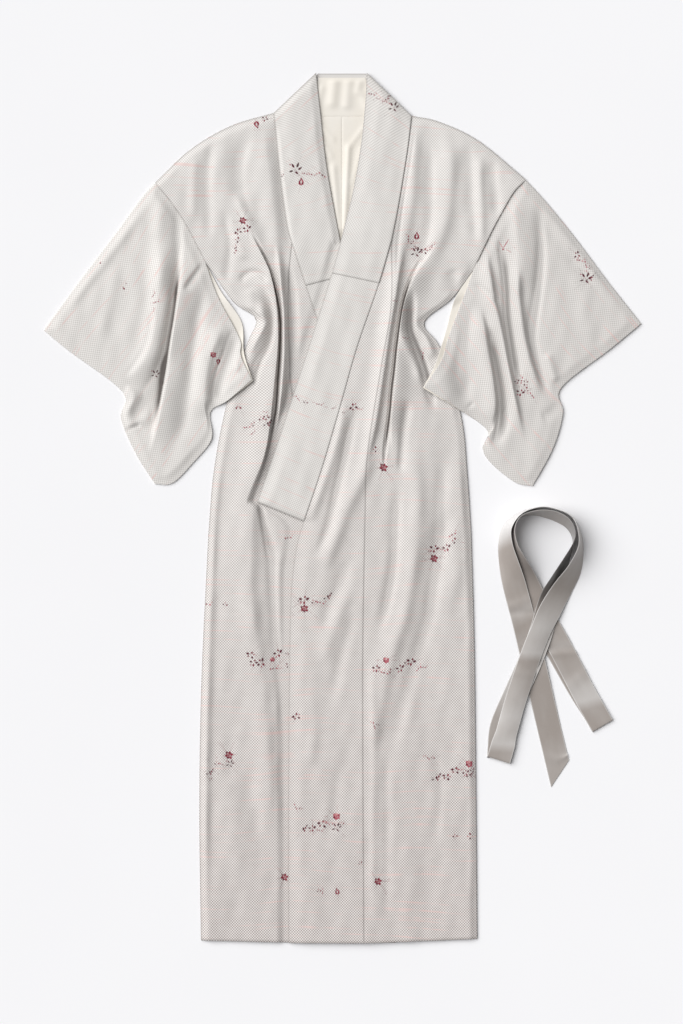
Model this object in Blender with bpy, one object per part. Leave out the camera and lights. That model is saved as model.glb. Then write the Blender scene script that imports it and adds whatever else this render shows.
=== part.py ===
# A kimono robe laid flat on its back with its satin belt beside it.
# Metres, +Z up, +Y towards the collar. The underside lies on z = 0.
# Right and left are the wearer's, so the right side is at -X.

from collections import namedtuple

import bpy
import numpy as np

# Driving dimensions
LENGTH = 1.739          # top of the collar to the hem
SPAN = 1.195            # cuff to cuff as the sleeves lie
CLOTH = 0.0018          # wall of the patterned cloth
COLLAR_CLOTH = 0.0030   # the collar strip is several layers thick
OVER_CLOTH = 0.0012     # the second collar wrapped round the first
LINING = 0.0012         # wall of the cream lining
SEAM_GAP = 0.0003       # clearance wherever two pieces meet
LAP_AIR = 0.0007        # air between the lapped fronts
LOFT = 0.0040           # how far a front panel stands off the panel beneath
FINEST_FOLD = 0.011     # narrowest half width that these panels' grids can carry
CENTRE = -0.001         # the centre back seam
NECK_LINE = 0.783       # the back neckline, where the collar strip joins the back
CROSSING = 0.530        # where the two collars cross
UNDER_ARM = 0.500       # below this the fronts and the back are sewn together at the sides
SIDE_TAPER = 0.030      # width over which a front panel comes down to a side seam
SHOULDER_TAPER = 0.025  # the same along the shoulders
LAP_TAPER = 0.022       # the same where the right front goes under the left one
LINING_RIM = 0.125      # half width of the rise over the neck lining
LINING_FOOT = 0.460     # where that rise starts, below the lining's lower end
SLEEVE_REST = 0.0125    # rise of a sleeve where its open edge lies on the body
CREASE_TAPER = 0.030    # width over which a sleeve rises from its folded top
HEM_TAPER = 0.035       # the same from its sewn lower edges
LINING_LIFT = 0.0019    # extra room beneath a sleeve's upper layer for the cream strip

BELT_WIDTH = 0.047
BELT_CLOTH = 0.0012
BELT_STEP = 0.020

COLLAR_TOP = LENGTH / 2
HEM = -LENGTH / 2
CUFF = SPAN / 2

# Rows along the seams. Two pieces that share a seam share its rows.
NECK_ROWS = 7
ARM_ROWS = NECK_ROWS
OVER_ROWS = 3           # from the crossing to the end of the second collar
CHEST_ROWS = 18
SKIRT_ROWS = 13
FURI_ROWS = 7
SLEEVE_COLUMNS = 25
BACK_COLUMNS = 5
FRONT_COLUMNS = 13
OKUMI_COLUMNS = 6
COLLAR_COLUMNS = 3
LINING_COLUMNS = 4      # of each sleeve's own columns

# Seam lines in the plane of the floor, each from the top down
SHOULDER_RIGHT = ((-0.375, 0.650), (-0.305, 0.716), (-0.223, 0.764), (-0.137, 0.790))
SHOULDER_LEFT = ((0.138, 0.784), (0.193, 0.772), (0.272, 0.734), (0.367, 0.656))
ARMHOLE_RIGHT = ((-0.375, 0.650), (-0.347, 0.617), (-0.315, 0.570), (-0.274, 0.491))
ARMHOLE_LEFT = ((0.367, 0.656), (0.343, 0.632), (0.315, 0.584), (0.293, 0.542), (0.261, 0.474))
CHEST_SIDE_RIGHT = (
    (-0.274, 0.491), (-0.218, 0.412), (-0.173, 0.378), (-0.190, 0.330),
    (-0.231, 0.210), (-0.257, 0.076), (-0.268, -0.050),
)
CHEST_SIDE_LEFT = (
    (0.261, 0.474), (0.218, 0.418), (0.163, 0.370), (0.196, 0.318),
    (0.237, 0.184), (0.249, 0.072), (0.257, -0.050),
)
SKIRT_SIDE_RIGHT = ((-0.268, -0.050), (-0.282, -0.348), (-0.286, -0.600), (-0.283, -0.864))
SKIRT_SIDE_LEFT = ((0.257, -0.050), (0.263, -0.266), (0.266, -0.504), (0.269, -0.861))
RIGHT_SIDE = (ARMHOLE_RIGHT, CHEST_SIDE_RIGHT, SKIRT_SIDE_RIGHT)
LEFT_SIDE = (ARMHOLE_LEFT, CHEST_SIDE_LEFT, SKIRT_SIDE_LEFT)

NECK_SEAM_RIGHT = ((-0.137, 0.790), (-0.125, 0.670), (-0.111, 0.568), (-0.101, 0.530))
NECK_SEAM_LEFT = ((0.138, 0.784), (0.129, 0.712), (0.111, 0.602), (0.098, 0.536))
CHEST_SEAM_LEFT = (
    (0.098, 0.536), (0.071, 0.444), (0.029, 0.322),
    (-0.003, 0.210), (-0.040, 0.084), (-0.077, -0.026),
)
OKUMI_EDGE_LEFT = (
    (-0.077, -0.026), (-0.093, -0.084), (-0.104, -0.200), (-0.108, -0.500), (-0.108, -0.8690),
)
PRESSED_BELOW_COLLAR = (
    (-0.170, 0.012), (-0.172, -0.020), (-0.135, -0.075), (-0.110, -0.200), (-0.108, HEM),
)
OKUMI_CHEST_LEFT = ((0.098, 0.536), (0.097, 0.402), (0.077, 0.280), (0.050, 0.108), (0.045, -0.026))
OKUMI_CHEST_RIGHT = (
    (-0.101, 0.530), (-0.108, 0.450), (-0.107, 0.330), (-0.098, 0.210), (-0.058, 0.090), (-0.047, -0.026),
)
OKUMI_SKIRT_LEFT = ((0.045, -0.026), (0.041, -0.266), (0.041, -0.504), (0.043, -0.8697))
NECK_EDGE_RIGHT = ((-0.053, COLLAR_TOP), (-0.045, 0.796), (-0.031, 0.676), (-0.004, 0.530))
NECK_EDGE_LEFT = ((0.049, COLLAR_TOP), (0.046, 0.810), (0.037, 0.724), (0.021, 0.632), (-0.004, 0.530))
CHEST_EDGE_LEFT = (
    (-0.004, 0.530), (-0.021, 0.469), (-0.055, 0.360), (-0.097, 0.230), (-0.131, 0.126), (-0.170, 0.012),
)

# The collar strip behind the neck, its cream face, and the lining below the neckline, wearer's right edges
COLLAR_BACK_EDGE = ((-0.049, 0.8685), (-0.108, NECK_LINE))
COLLAR_BACK_FACE_EDGE = ((-0.048, 0.8600), (-0.066, NECK_LINE))
LINING_EDGE = ((-0.064, NECK_LINE), (-0.048, 0.676), (-0.034, 0.602), (-0.020, 0.516))

# Sleeves as they lie. The top edge is a fold, the furi is the open body-side edge of the upper layer,
# under_furi the same edge of the under layer, and outer runs from the cuff round to the bottom.
SleeveCut = namedtuple("SleeveCut", "top armhole furi under_furi outer bottom")
CUT_RIGHT = SleeveCut(
    top=((-0.375, 0.650), (-0.399, 0.624), (-0.453, 0.550), (-0.519, 0.463), (-CUFF, 0.356)),
    armhole=ARMHOLE_RIGHT,
    furi=((-0.274, 0.491), (-0.249, 0.422), (-0.206, 0.340), (-0.203, 0.304), (-0.181, 0.256)),
    under_furi=((-0.274, 0.491), (-0.241, 0.430), (-0.202, 0.372), (-0.197, 0.310), (-0.179, 0.254)),
    outer=(
        (-CUFF, 0.356), (-0.549, 0.316), (-0.439, 0.232),
        (-0.443, 0.180), (-0.414, 0.110), (-0.375, 0.048),
    ),
    bottom=((-0.340, 0.050), (-0.301, 0.088), (-0.262, 0.138), (-0.264, 0.192), (-0.229, 0.215)),
)
CUT_LEFT = SleeveCut(
    top=((0.367, 0.656), (0.405, 0.615), (0.463, 0.544), (0.535, 0.448), (CUFF, 0.369)),
    armhole=ARMHOLE_LEFT,
    furi=((0.261, 0.474), (0.245, 0.430), (0.211, 0.340), (0.198, 0.296), (0.163, 0.242)),
    under_furi=((0.261, 0.474), (0.225, 0.418), (0.206, 0.350), (0.184, 0.284), (0.161, 0.240)),
    outer=(
        (CUFF, 0.369), (0.533, 0.316), (0.437, 0.240),
        (0.441, 0.190), (0.421, 0.120), (0.380, 0.044),
    ),
    bottom=((0.285, 0.161), (0.280, 0.120), (0.297, 0.090), (0.345, 0.052)),
)

# What the left front lies over: its thickness at each height, and X where it ends
LapStep = namedtuple("LapStep", "y thickness end")
PLAIN = CLOTH + SEAM_GAP + LAP_AIR
STRIP = COLLAR_CLOTH + SEAM_GAP + LAP_AIR
COLLARS = COLLAR_CLOTH + OVER_CLOTH + 2 * SEAM_GAP + LAP_AIR
LAP_STEPS = (
    LapStep(HEM, PLAIN, 0.170),
    LapStep(-0.14, PLAIN, 0.170),
    LapStep(-0.05, STRIP, 0.205),
    LapStep(0.00, STRIP, 0.240),
    LapStep(0.30, STRIP, 0.175),
    LapStep(0.36, STRIP, 0.163),
    LapStep(0.42, COLLARS, 0.151),
    LapStep(0.50, COLLARS, 0.135),
    LapStep(0.555, COLLARS, 0.135),
    LapStep(0.64, 0.0, 0.135),
)
LAP_END = 0.045         # width over which the left front comes down beyond that

# Large folds. Width is half the breadth of the crest or trough, and a negative height is a valley.
# Lean is above 0 where the fold is gentler on its +X side, for a path drawn downwards.
Fold = namedtuple("Fold", "height width lean path")
FOLDS_RIGHT = (
    Fold(0.016, 0.017, -0.45, (
        (-0.183, 0.540), (-0.153, 0.452), (-0.143, 0.352), (-0.150, 0.170), (-0.190, 0.000),
    )),
    Fold(-0.017, 0.006, 0.00, (
        (-0.167, 0.535), (-0.135, 0.452), (-0.126, 0.352), (-0.136, 0.162), (-0.169, 0.012),
    )),
    Fold(0.013, 0.010, 0.20, ((-0.150, 0.535), (-0.124, 0.452), (-0.116, 0.352), (-0.122, 0.220))),
    Fold(-0.006, 0.008, 0.00, ((-0.143, 0.540), (-0.115, 0.460), (-0.107, 0.330), (-0.108, 0.210))),
    Fold(-0.006, 0.009, 0.00, ((-0.157, 0.436), (-0.155, 0.380), (-0.171, 0.276))),
    Fold(0.005, 0.010, 0.00, ((-0.176, 0.470), (-0.168, 0.400), (-0.184, 0.290))),
    Fold(-0.005, 0.014, 0.00, ((-0.210, 0.466), (-0.190, 0.474), (-0.170, 0.440))),
    Fold(-0.007, 0.018, 0.00, ((-0.259, 0.745), (-0.279, 0.676), (-0.283, 0.616), (-0.279, 0.536))),
    Fold(-0.008, 0.022, 0.00, ((-0.225, 0.720), (-0.221, 0.656), (-0.195, 0.596), (-0.161, 0.536))),
    Fold(0.006, 0.024, 0.00, ((-0.185, 0.740), (-0.175, 0.660), (-0.150, 0.590))),
    Fold(-0.009, 0.014, 0.00, ((-0.165, 0.020), (-0.140, -0.140), (-0.127, -0.340), (-0.122, -0.500))),
    Fold(0.009, 0.020, 0.00, ((-0.192, -0.040), (-0.184, -0.260), (-0.172, -0.440))),
    Fold(-0.005, 0.018, 0.00, ((-0.180, -0.480), (-0.155, -0.600), (-0.135, -0.700))),
    Fold(0.005, 0.022, 0.00, ((-0.225, -0.520), (-0.205, -0.640), (-0.180, -0.780))),
)
FOLDS_LEFT = (
    Fold(0.015, 0.016, 0.45, (
        (0.185, 0.500), (0.149, 0.444), (0.123, 0.316), (0.111, 0.196), (0.088, 0.060),
    )),
    Fold(-0.017, 0.006, 0.00, (
        (0.163, 0.510), (0.133, 0.460), (0.112, 0.374), (0.100, 0.264), (0.074, 0.100),
    )),
    Fold(0.011, 0.010, -0.20, (
        (0.131, 0.560), (0.109, 0.436), (0.091, 0.316), (0.069, 0.176), (0.057, 0.080),
    )),
    Fold(-0.007, 0.009, 0.00, ((0.155, 0.400), (0.137, 0.345), (0.157, 0.264), (0.181, 0.184))),
    Fold(-0.006, 0.018, 0.00, ((0.149, 0.766), (0.165, 0.656), (0.155, 0.566))),
    Fold(-0.007, 0.018, 0.00, ((0.229, 0.756), (0.235, 0.656), (0.219, 0.536))),
    Fold(-0.006, 0.016, 0.00, ((0.279, 0.720), (0.295, 0.636), (0.291, 0.566))),
    Fold(0.006, 0.022, 0.00, ((0.195, 0.740), (0.200, 0.650), (0.180, 0.560))),
    Fold(-0.007, 0.018, 0.00, ((0.085, 0.030), (0.092, -0.130), (0.062, -0.270))),
    Fold(0.008, 0.022, 0.00, ((0.128, -0.040), (0.112, -0.200), (0.090, -0.330))),
    Fold(-0.006, 0.030, 0.00, ((0.180, 0.030), (0.152, -0.184), (0.115, -0.344), (0.075, -0.520))),
    Fold(0.007, 0.026, 0.00, ((0.215, -0.050), (0.200, -0.250), (0.170, -0.430))),
    Fold(-0.005, 0.016, 0.00, ((0.018, -0.020), (-0.025, -0.070), (-0.068, -0.110))),
    Fold(0.005, 0.022, 0.00, ((0.020, -0.090), (-0.035, -0.170), (-0.060, -0.300))),
    Fold(-0.004, 0.022, 0.00, ((-0.005, -0.184), (-0.030, -0.290), (-0.045, -0.400))),
)
FOLDS_SLEEVE_RIGHT = (
    Fold(-0.014, 0.009, 0.00, (
        (-0.349, 0.614), (-0.343, 0.456), (-0.345, 0.380), (-0.363, 0.292), (-0.390, 0.215),
    )),
    Fold(0.014, 0.013, 0.40, (
        (-0.327, 0.560), (-0.322, 0.456), (-0.336, 0.350), (-0.356, 0.210), (-0.372, 0.120),
    )),
    Fold(-0.008, 0.012, 0.00, (
        (-0.289, 0.480), (-0.315, 0.374), (-0.333, 0.250), (-0.343, 0.196), (-0.360, 0.106),
    )),
    Fold(0.011, 0.020, 0.00, ((-0.262, 0.430), (-0.280, 0.316), (-0.300, 0.216), (-0.322, 0.110))),
    Fold(-0.010, 0.010, 0.00, ((-0.221, 0.354), (-0.235, 0.312), (-0.261, 0.220), (-0.275, 0.150))),
    Fold(0.011, 0.012, 0.50, (
        (-0.370, 0.430), (-0.378, 0.340), (-0.395, 0.290), (-0.425, 0.240), (-0.428, 0.160),
    )),
    Fold(0.007, 0.020, 0.00, ((-0.400, 0.560), (-0.420, 0.470), (-0.450, 0.380))),
    Fold(-0.004, 0.014, 0.00, ((-0.420, 0.580), (-0.467, 0.508), (-0.519, 0.440), (-0.556, 0.382))),
)
FOLDS_SLEEVE_LEFT = (
    Fold(-0.013, 0.009, 0.00, ((0.313, 0.500), (0.331, 0.374), (0.345, 0.280), (0.356, 0.190))),
    Fold(0.013, 0.013, -0.40, (
        (0.296, 0.470), (0.312, 0.364), (0.325, 0.292), (0.338, 0.200), (0.340, 0.110),
    )),
    Fold(-0.008, 0.009, 0.00, ((0.291, 0.380), (0.305, 0.302), (0.318, 0.220), (0.322, 0.150))),
    Fold(-0.012, 0.010, 0.00, ((0.369, 0.440), (0.370, 0.364), (0.386, 0.302), (0.425, 0.206))),
    Fold(0.011, 0.015, 0.00, ((0.350, 0.440), (0.358, 0.330), (0.377, 0.236), (0.390, 0.130))),
    Fold(0.009, 0.015, 0.00, ((0.392, 0.440), (0.400, 0.330), (0.424, 0.262), (0.440, 0.226))),
    Fold(0.008, 0.013, -0.50, ((0.280, 0.340), (0.294, 0.266), (0.299, 0.218), (0.288, 0.142))),
    Fold(0.007, 0.020, 0.00, ((0.405, 0.560), (0.440, 0.480), (0.470, 0.400))),
)

# The belt as it lies, from its cut end round the loop and back. Bank is the ribbon's tilt in degrees,
# 90 on its edge, and lift is how far it passes above the floor over other strips.
BeltPoint = namedtuple("BeltPoint", "x y bank lift")
BELT_OUTWARD = tuple(BeltPoint(*row) for row in (
    (0.435, -0.531, 0, 0.0),
    (0.415, -0.448, 0, 0.0),
    (0.397, -0.372, 0, 0.0015),
    (0.379, -0.296, 0, 0.0040),
    (0.363, -0.228, 0, 0.0040),
    (0.346, -0.164, -8, 0.0020),
    (0.331, -0.106, -38, 0.0),
    (0.325, -0.070, -56, 0.0),
    (0.329, -0.038, -70, 0.0),
    (0.353, -0.011, -84, 0.0),
    (0.387, 0.001, -90, 0.0),
    (0.417, 0.000, -90, 0.0),
    (0.455, -0.015, -88, 0.0),
    (0.472, -0.045, -82, 0.0),
    (0.475, -0.080, -74, 0.0),
    (0.462, -0.124, -50, 0.0),
    (0.440, -0.160, -32, 0.0010),
    (0.419, -0.196, -20, 0.0050),
    (0.398, -0.240, -12, 0.0075),
    (0.375, -0.298, -7, 0.0075),
    (0.346, -0.384, -3, 0.0075),
    (0.319, -0.480, 0, 0.0075),
    (0.313, -0.500, 0, 0.0075),
))
BELT_RETURN = tuple(BeltPoint(*row) for row in (
    (0.313, -0.500, 0, 0.0),
    (0.314, -0.478, 0, 0.0004),
    (0.322, -0.436, 0, 0.0016),
    (0.347, -0.376, 0, 0.0048),
    (0.379, -0.304, 0, 0.0056),
    (0.400, -0.244, 4, 0.0050),
    (0.414, -0.184, 25, 0.0),
    (0.430, -0.144, 50, 0.0),
    (0.445, -0.108, 70, 0.0),
    (0.458, -0.077, 84, 0.0),
    (0.461, -0.054, 98, 0.0),
    (0.452, -0.034, 108, 0.0),
    (0.437, -0.022, 113, 0.0),
    (0.413, -0.013, 111, 0.0),
    (0.383, -0.010, 101, 0.0),
    (0.359, -0.020, 93, 0.0),
    (0.346, -0.042, 86, 0.0),
    (0.345, -0.075, 70, 0.0),
    (0.352, -0.106, 45, 0.0),
    (0.368, -0.148, 15, 0.0),
    (0.385, -0.184, 4, 0.0008),
    (0.405, -0.224, 0, 0.0016),
    (0.442, -0.291, 0, 0.0018),
    (0.482, -0.368, 0, 0.0022),
    (0.511, -0.420, 0, 0.0036),
    (0.519, -0.434, 0, 0.0040),
))
BELT_HIDDEN = tuple(BeltPoint(*row) for row in (
    (0.519, -0.434, 0, 0.0),
    (0.505, -0.410, 0, 0.0),
    (0.478, -0.368, 0, 0.0),
    (0.439, -0.300, 0, 0.0),
    (0.420, -0.266, 0, 0.0),
))
BELT_POINT = ((0.417, -0.558), (0.453, -0.504))  # corners of the cut end, long edge first

# Base colours from the photo, linear
PATTERNED = (0.60, 0.56, 0.53)
CREAM = (0.80, 0.75, 0.66)
SATIN = (0.42, 0.37, 0.34)


def smooth_path(points, steps):
    """Points at equal steps along a smooth curve through the given points."""
    points = np.array(points, float)
    if len(points) == 2:
        dense = points
    else:
        ends = np.vstack([2 * points[0] - points[1], points, 2 * points[-1] - points[-2]])
        t = np.linspace(0, 1, 12, endpoint=False)[:, None]
        runs = []
        for a, b, c, d in zip(ends, ends[1:], ends[2:], ends[3:]):
            bend = (2 * a - 5 * b + 4 * c - d) * t**2 + (3 * b - a - 3 * c + d) * t**3
            runs.append(b + ((c - a) * t + bend) / 2)
        dense = np.vstack(runs + [points[-1:]])
    along = np.concatenate([[0], np.cumsum(np.linalg.norm(np.diff(dense[:, :2], axis=0), axis=1))])
    at = np.linspace(0, along[-1], steps + 1)
    return np.column_stack([np.interp(at, along, column) for column in dense.T])


def joined(*stretches):
    """One edge from several sampled stretches that share their end points."""
    return np.vstack([stretches[0]] + [stretch[1:] for stretch in stretches[1:]])


def mirrored(points):
    """The same line on the other side of the centre back."""
    points = np.array(points)
    return np.column_stack([2 * CENTRE - points[:, 0], points[:, 1]])


def rise(distance, run):
    """0 at and before distance 0, smoothly up to 1 at the end of the run."""
    t = np.clip(np.asarray(distance) / run, 0, 1)
    return t * t * (3 - 2 * t)


def panel(left, right, top=(), bottom=(), columns=4, bias=1.0):
    """A grid of floor points between two sampled edges, rows down and columns to the right.

    bias above 1 crowds the columns to the left edge, below 1 to the right edge.
    """
    u = np.linspace(0, 1, columns + 1)
    u = (u**bias if bias >= 1 else 1 - (1 - u) ** (1 / bias))[None, :, None]
    v = np.linspace(0, 1, len(left))[:, None, None]
    first, last = left[:, None, :], right[:, None, :]
    grid = (1 - u) * first + u * last
    for row, between, fade in ((0, top, 1 - v), (-1, bottom, v)):
        edge = smooth_path((left[row], *between, right[row]), 200)
        share = np.linspace(0, 1, 201)
        curved = np.stack([np.interp(u[0, :, 0], share, edge[:, k]) for k in (0, 1)], axis=-1)
        grid = grid + fade * (curved - ((1 - u) * left[row] + u * right[row]))
    return grid


def inset(grid, gap=SEAM_GAP / 2):
    """The same grid drawn in by half a seam gap on all four sides."""
    grid = grid.copy()
    for rim, inner in ((0, 1), (-1, -2)):
        for axis in (0, 1):
            lines = np.moveaxis(grid, axis, 0)
            step = lines[inner] - lines[rim]
            lines[rim] += step * gap / np.linalg.norm(step, axis=-1, keepdims=True)
    return grid


def fold_height(x, y, fold):
    """Height that one fold adds at the given floor points."""
    added = np.zeros_like(x)
    path = smooth_path(fold.path, 20)
    half = max(fold.width, FINEST_FOLD)
    reach = 3.2 * half
    near = (
        (x > path[:, 0].min() - reach) & (x < path[:, 0].max() + reach)
        & (y > path[:, 1].min() - reach) & (y < path[:, 1].max() + reach)
    )
    if not near.any():
        return added
    px, py = x[near], y[near]
    best = np.full(px.shape, np.inf)
    side = np.zeros_like(px)
    share = np.zeros_like(px)
    for number, (a, b) in enumerate(zip(path, path[1:])):
        step = b - a
        t = ((px - a[0]) * step[0] + (py - a[1]) * step[1]) / (step @ step)
        t = np.clip(t, 0, 1)
        dx = px - a[0] - t * step[0]
        dy = py - a[1] - t * step[1]
        square = dx * dx + dy * dy
        closer = square < best
        best = np.where(closer, square, best)
        side = np.where(closer, np.sign(step[0] * dy - step[1] * dx), side)
        share = np.where(closer, (number + t) / (len(path) - 1), share)
    width = half * (1 + fold.lean * side)
    fade = rise(share, 0.22) * rise(1 - share, 0.22)
    added[near] = fold.height * fade * np.exp(-best / width**2)
    return added


def relief(x, y, folds, loft=LOFT):
    """Height of a loosely lying panel above what it rests on, never below 0."""
    height = loft + sum(fold_height(x, y, fold) for fold in folds)
    soft = 0.0015
    return 0.5 * (height + np.sqrt(height**2 + soft**2))


def side_limit(y, *stretches):
    """X of an outline at the given heights."""
    line = np.vstack([smooth_path(stretch, 60) for stretch in stretches])
    order = np.argsort(line[:, 1])
    return np.interp(y, line[order, 1], line[order, 0])


def top_limit(x):
    """Y of the shoulders and the collar's upper edge."""
    line = np.vstack([smooth_path(SHOULDER_RIGHT, 30), NECK_EDGE_RIGHT[:1], NECK_EDGE_LEFT[:1],
                      smooth_path(SHOULDER_LEFT, 30)])
    return np.interp(x, line[:, 0], line[:, 1])


def lap_edge(y):
    """X of the left front's free edge: collar, end of the collar, overlap."""
    return side_limit(y, NECK_EDGE_LEFT, CHEST_EDGE_LEFT, OKUMI_EDGE_LEFT)


def pressed_edge(y):
    """X left of which the right front is free of the weight of the left one."""
    return side_limit(y, CHEST_EDGE_LEFT, PRESSED_BELOW_COLLAR) - LAP_TAPER / 2


def seam_hold(x, y):
    """1 in the open panel, 0 at the side seams and the shoulder, where front and back are held together."""
    right = side_limit(y, CHEST_SIDE_RIGHT, SKIRT_SIDE_RIGHT)
    left = side_limit(y, CHEST_SIDE_LEFT, SKIRT_SIDE_LEFT)
    below_arm = rise(UNDER_ARM - y, SIDE_TAPER)
    free = rise(x - right, SIDE_TAPER) * rise(left - x, SIDE_TAPER)
    return (1 - below_arm * (1 - free)) * rise(top_limit(x) - y, SHOULDER_TAPER)


def back_stack(x, y):
    """Underside of the first layer that lies on the back, raised a little over the neck lining."""
    across = rise(x + LINING_RIM, SIDE_TAPER) * rise(LINING_RIM - x, SIDE_TAPER)
    over_lining = across * rise(y - LINING_FOOT, SIDE_TAPER)
    return CLOTH + SEAM_GAP + (LINING + SEAM_GAP) * over_lining


def right_height(x, y):
    """Underside of the wearer's right front, which lies beneath."""
    neck = side_limit(y, NECK_EDGE_RIGHT)
    limit = np.where(y > CROSSING, neck, pressed_edge(y))
    free = rise(limit - x, LAP_TAPER)
    return back_stack(x, y) + relief(x, y, FOLDS_RIGHT) * seam_hold(x, y) * free


def left_height(x, y):
    """Underside of the wearer's left front, which laps over the right one."""
    rows = LapStep(*zip(*LAP_STEPS))
    lap = np.interp(y, rows.y, rows.thickness) * rise(np.interp(y, rows.y, rows.end) - x, LAP_END)
    free = rise(x - lap_edge(y), SIDE_TAPER)
    return back_stack(x, y) + lap + relief(x, y, FOLDS_LEFT) * seam_hold(x, y) * (0.15 + 0.85 * free)


def over_body(x, y):
    """How far the sleeve is carried up where its open edge lies on the body."""
    inside = np.where(
        x < 0,
        x - side_limit(y, CHEST_SIDE_RIGHT, SKIRT_SIDE_RIGHT),
        side_limit(y, CHEST_SIDE_LEFT, SKIRT_SIDE_LEFT) - x,
    )
    beside = rise(UNDER_ARM - 2 * SIDE_TAPER - y, SIDE_TAPER)
    return SLEEVE_REST * rise(inside + SIDE_TAPER, 2 * SIDE_TAPER) * beside


def add_material(solid, colour, roughness):
    material = bpy.data.materials.new(solid.name)
    material.use_nodes = True
    shader = material.node_tree.nodes["Principled BSDF"]
    shader.inputs["Base Color"].default_value = (*colour, 1)
    shader.inputs["Roughness"].default_value = roughness
    shader.inputs["Metallic"].default_value = 0.0
    solid.data.materials.append(material)


def cloth_wall(name, outer, inner, colour, roughness=0.85, falling=True):
    """A closed wall between two grids of points, joined round their rims.

    Each cell is cut along its falling or its rising diagonal, whichever runs with the folds.
    """
    rows, columns = outer.shape[:2]
    count = rows * columns
    index = np.arange(count).reshape(rows, columns)
    cuts = ((0, 1, 2), (0, 2, 3)) if falling else ((0, 1, 3), (1, 2, 3))
    faces = []
    for r in range(rows - 1):
        for c in range(columns - 1):
            cell = (index[r, c], index[r + 1, c], index[r + 1, c + 1], index[r, c + 1])
            for cut in cuts:
                faces.append(tuple(cell[k] for k in cut))
                faces.append(tuple(cell[k] + count for k in reversed(cut)))
    rim = np.concatenate([index[:-1, 0], index[-1, :-1], index[:0:-1, -1], index[0, :0:-1]])
    for a, b in zip(rim, np.roll(rim, -1)):
        faces.append((b, a, a + count, b + count))
    points = np.vstack([outer.reshape(-1, 3), inner.reshape(-1, 3)])
    mesh = bpy.data.meshes.new(name)
    mesh.from_pydata(points.tolist(), [], [tuple(int(i) for i in face) for face in faces])
    mesh.shade_smooth()
    mesh.set_sharp_from_angle(angle=np.radians(50))
    solid = bpy.data.objects.new(name, mesh)
    bpy.context.scene.collection.objects.link(solid)
    add_material(solid, colour, roughness)


def lay_panel(name, grid, underside, thickness, colour, falling=True):
    """A panel of even thickness whose underside follows a height function of x and y."""
    grid = inset(grid)
    low = underside(grid[..., 0], grid[..., 1])
    outer = np.dstack([grid, low + thickness])
    cloth_wall(name, outer, np.dstack([grid, low]), colour, falling=falling)


def flat_at(height):
    """Height function of what lies flat."""
    return lambda x, y: np.full(x.shape, height)


def body_side(stretches):
    """The outline of one side from the shoulder down the armhole and the side seam to the hem."""
    return joined(*map(smooth_path, stretches, (ARM_ROWS, CHEST_ROWS, SKIRT_ROWS)))


def make_backs():
    """Two flat panels from the shoulders to the hem, with the neckline cut between them."""
    rows = ARM_ROWS + CHEST_ROWS + SKIRT_ROWS
    centre = smooth_path(((CENTRE, NECK_LINE), (CENTRE, HEM + 0.001)), rows)
    top_right = SHOULDER_RIGHT[1:-1] + ((-0.140, NECK_LINE), (-0.100, NECK_LINE))
    top_left = ((0.100, NECK_LINE), (0.140, NECK_LINE - 0.004)) + SHOULDER_LEFT[1:-1]
    grid = panel(body_side(RIGHT_SIDE), centre, top=top_right, columns=BACK_COLUMNS)
    lay_panel("back_right", grid, flat_at(0), CLOTH, PATTERNED)
    grid = panel(centre, body_side(LEFT_SIDE), top=top_left, columns=BACK_COLUMNS)
    lay_panel("back_left", grid, flat_at(0), CLOTH, PATTERNED)


def make_neck():
    """The collar strip behind the neck with its cream face, and the lining that the open neck shows."""
    strip = smooth_path(COLLAR_BACK_EDGE, 3)
    lay_panel("collar_back", panel(strip, mirrored(strip), columns=6), flat_at(0), CLOTH, PATTERNED)
    on_back = flat_at(CLOTH + SEAM_GAP)
    face = smooth_path(COLLAR_BACK_FACE_EDGE, 3)
    lay_panel("collar_back_lining", panel(face, mirrored(face), columns=4), on_back, LINING, CREAM)
    edge = smooth_path(LINING_EDGE, NECK_ROWS)
    centre = smooth_path(((CENTRE, NECK_LINE), (CENTRE, LINING_EDGE[-1][1])), NECK_ROWS)
    lay_panel("lining_right", panel(edge, centre, columns=2), on_back, LINING, CREAM)
    lay_panel("lining_left", panel(centre, mirrored(edge), columns=2), on_back, LINING, CREAM)


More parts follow.
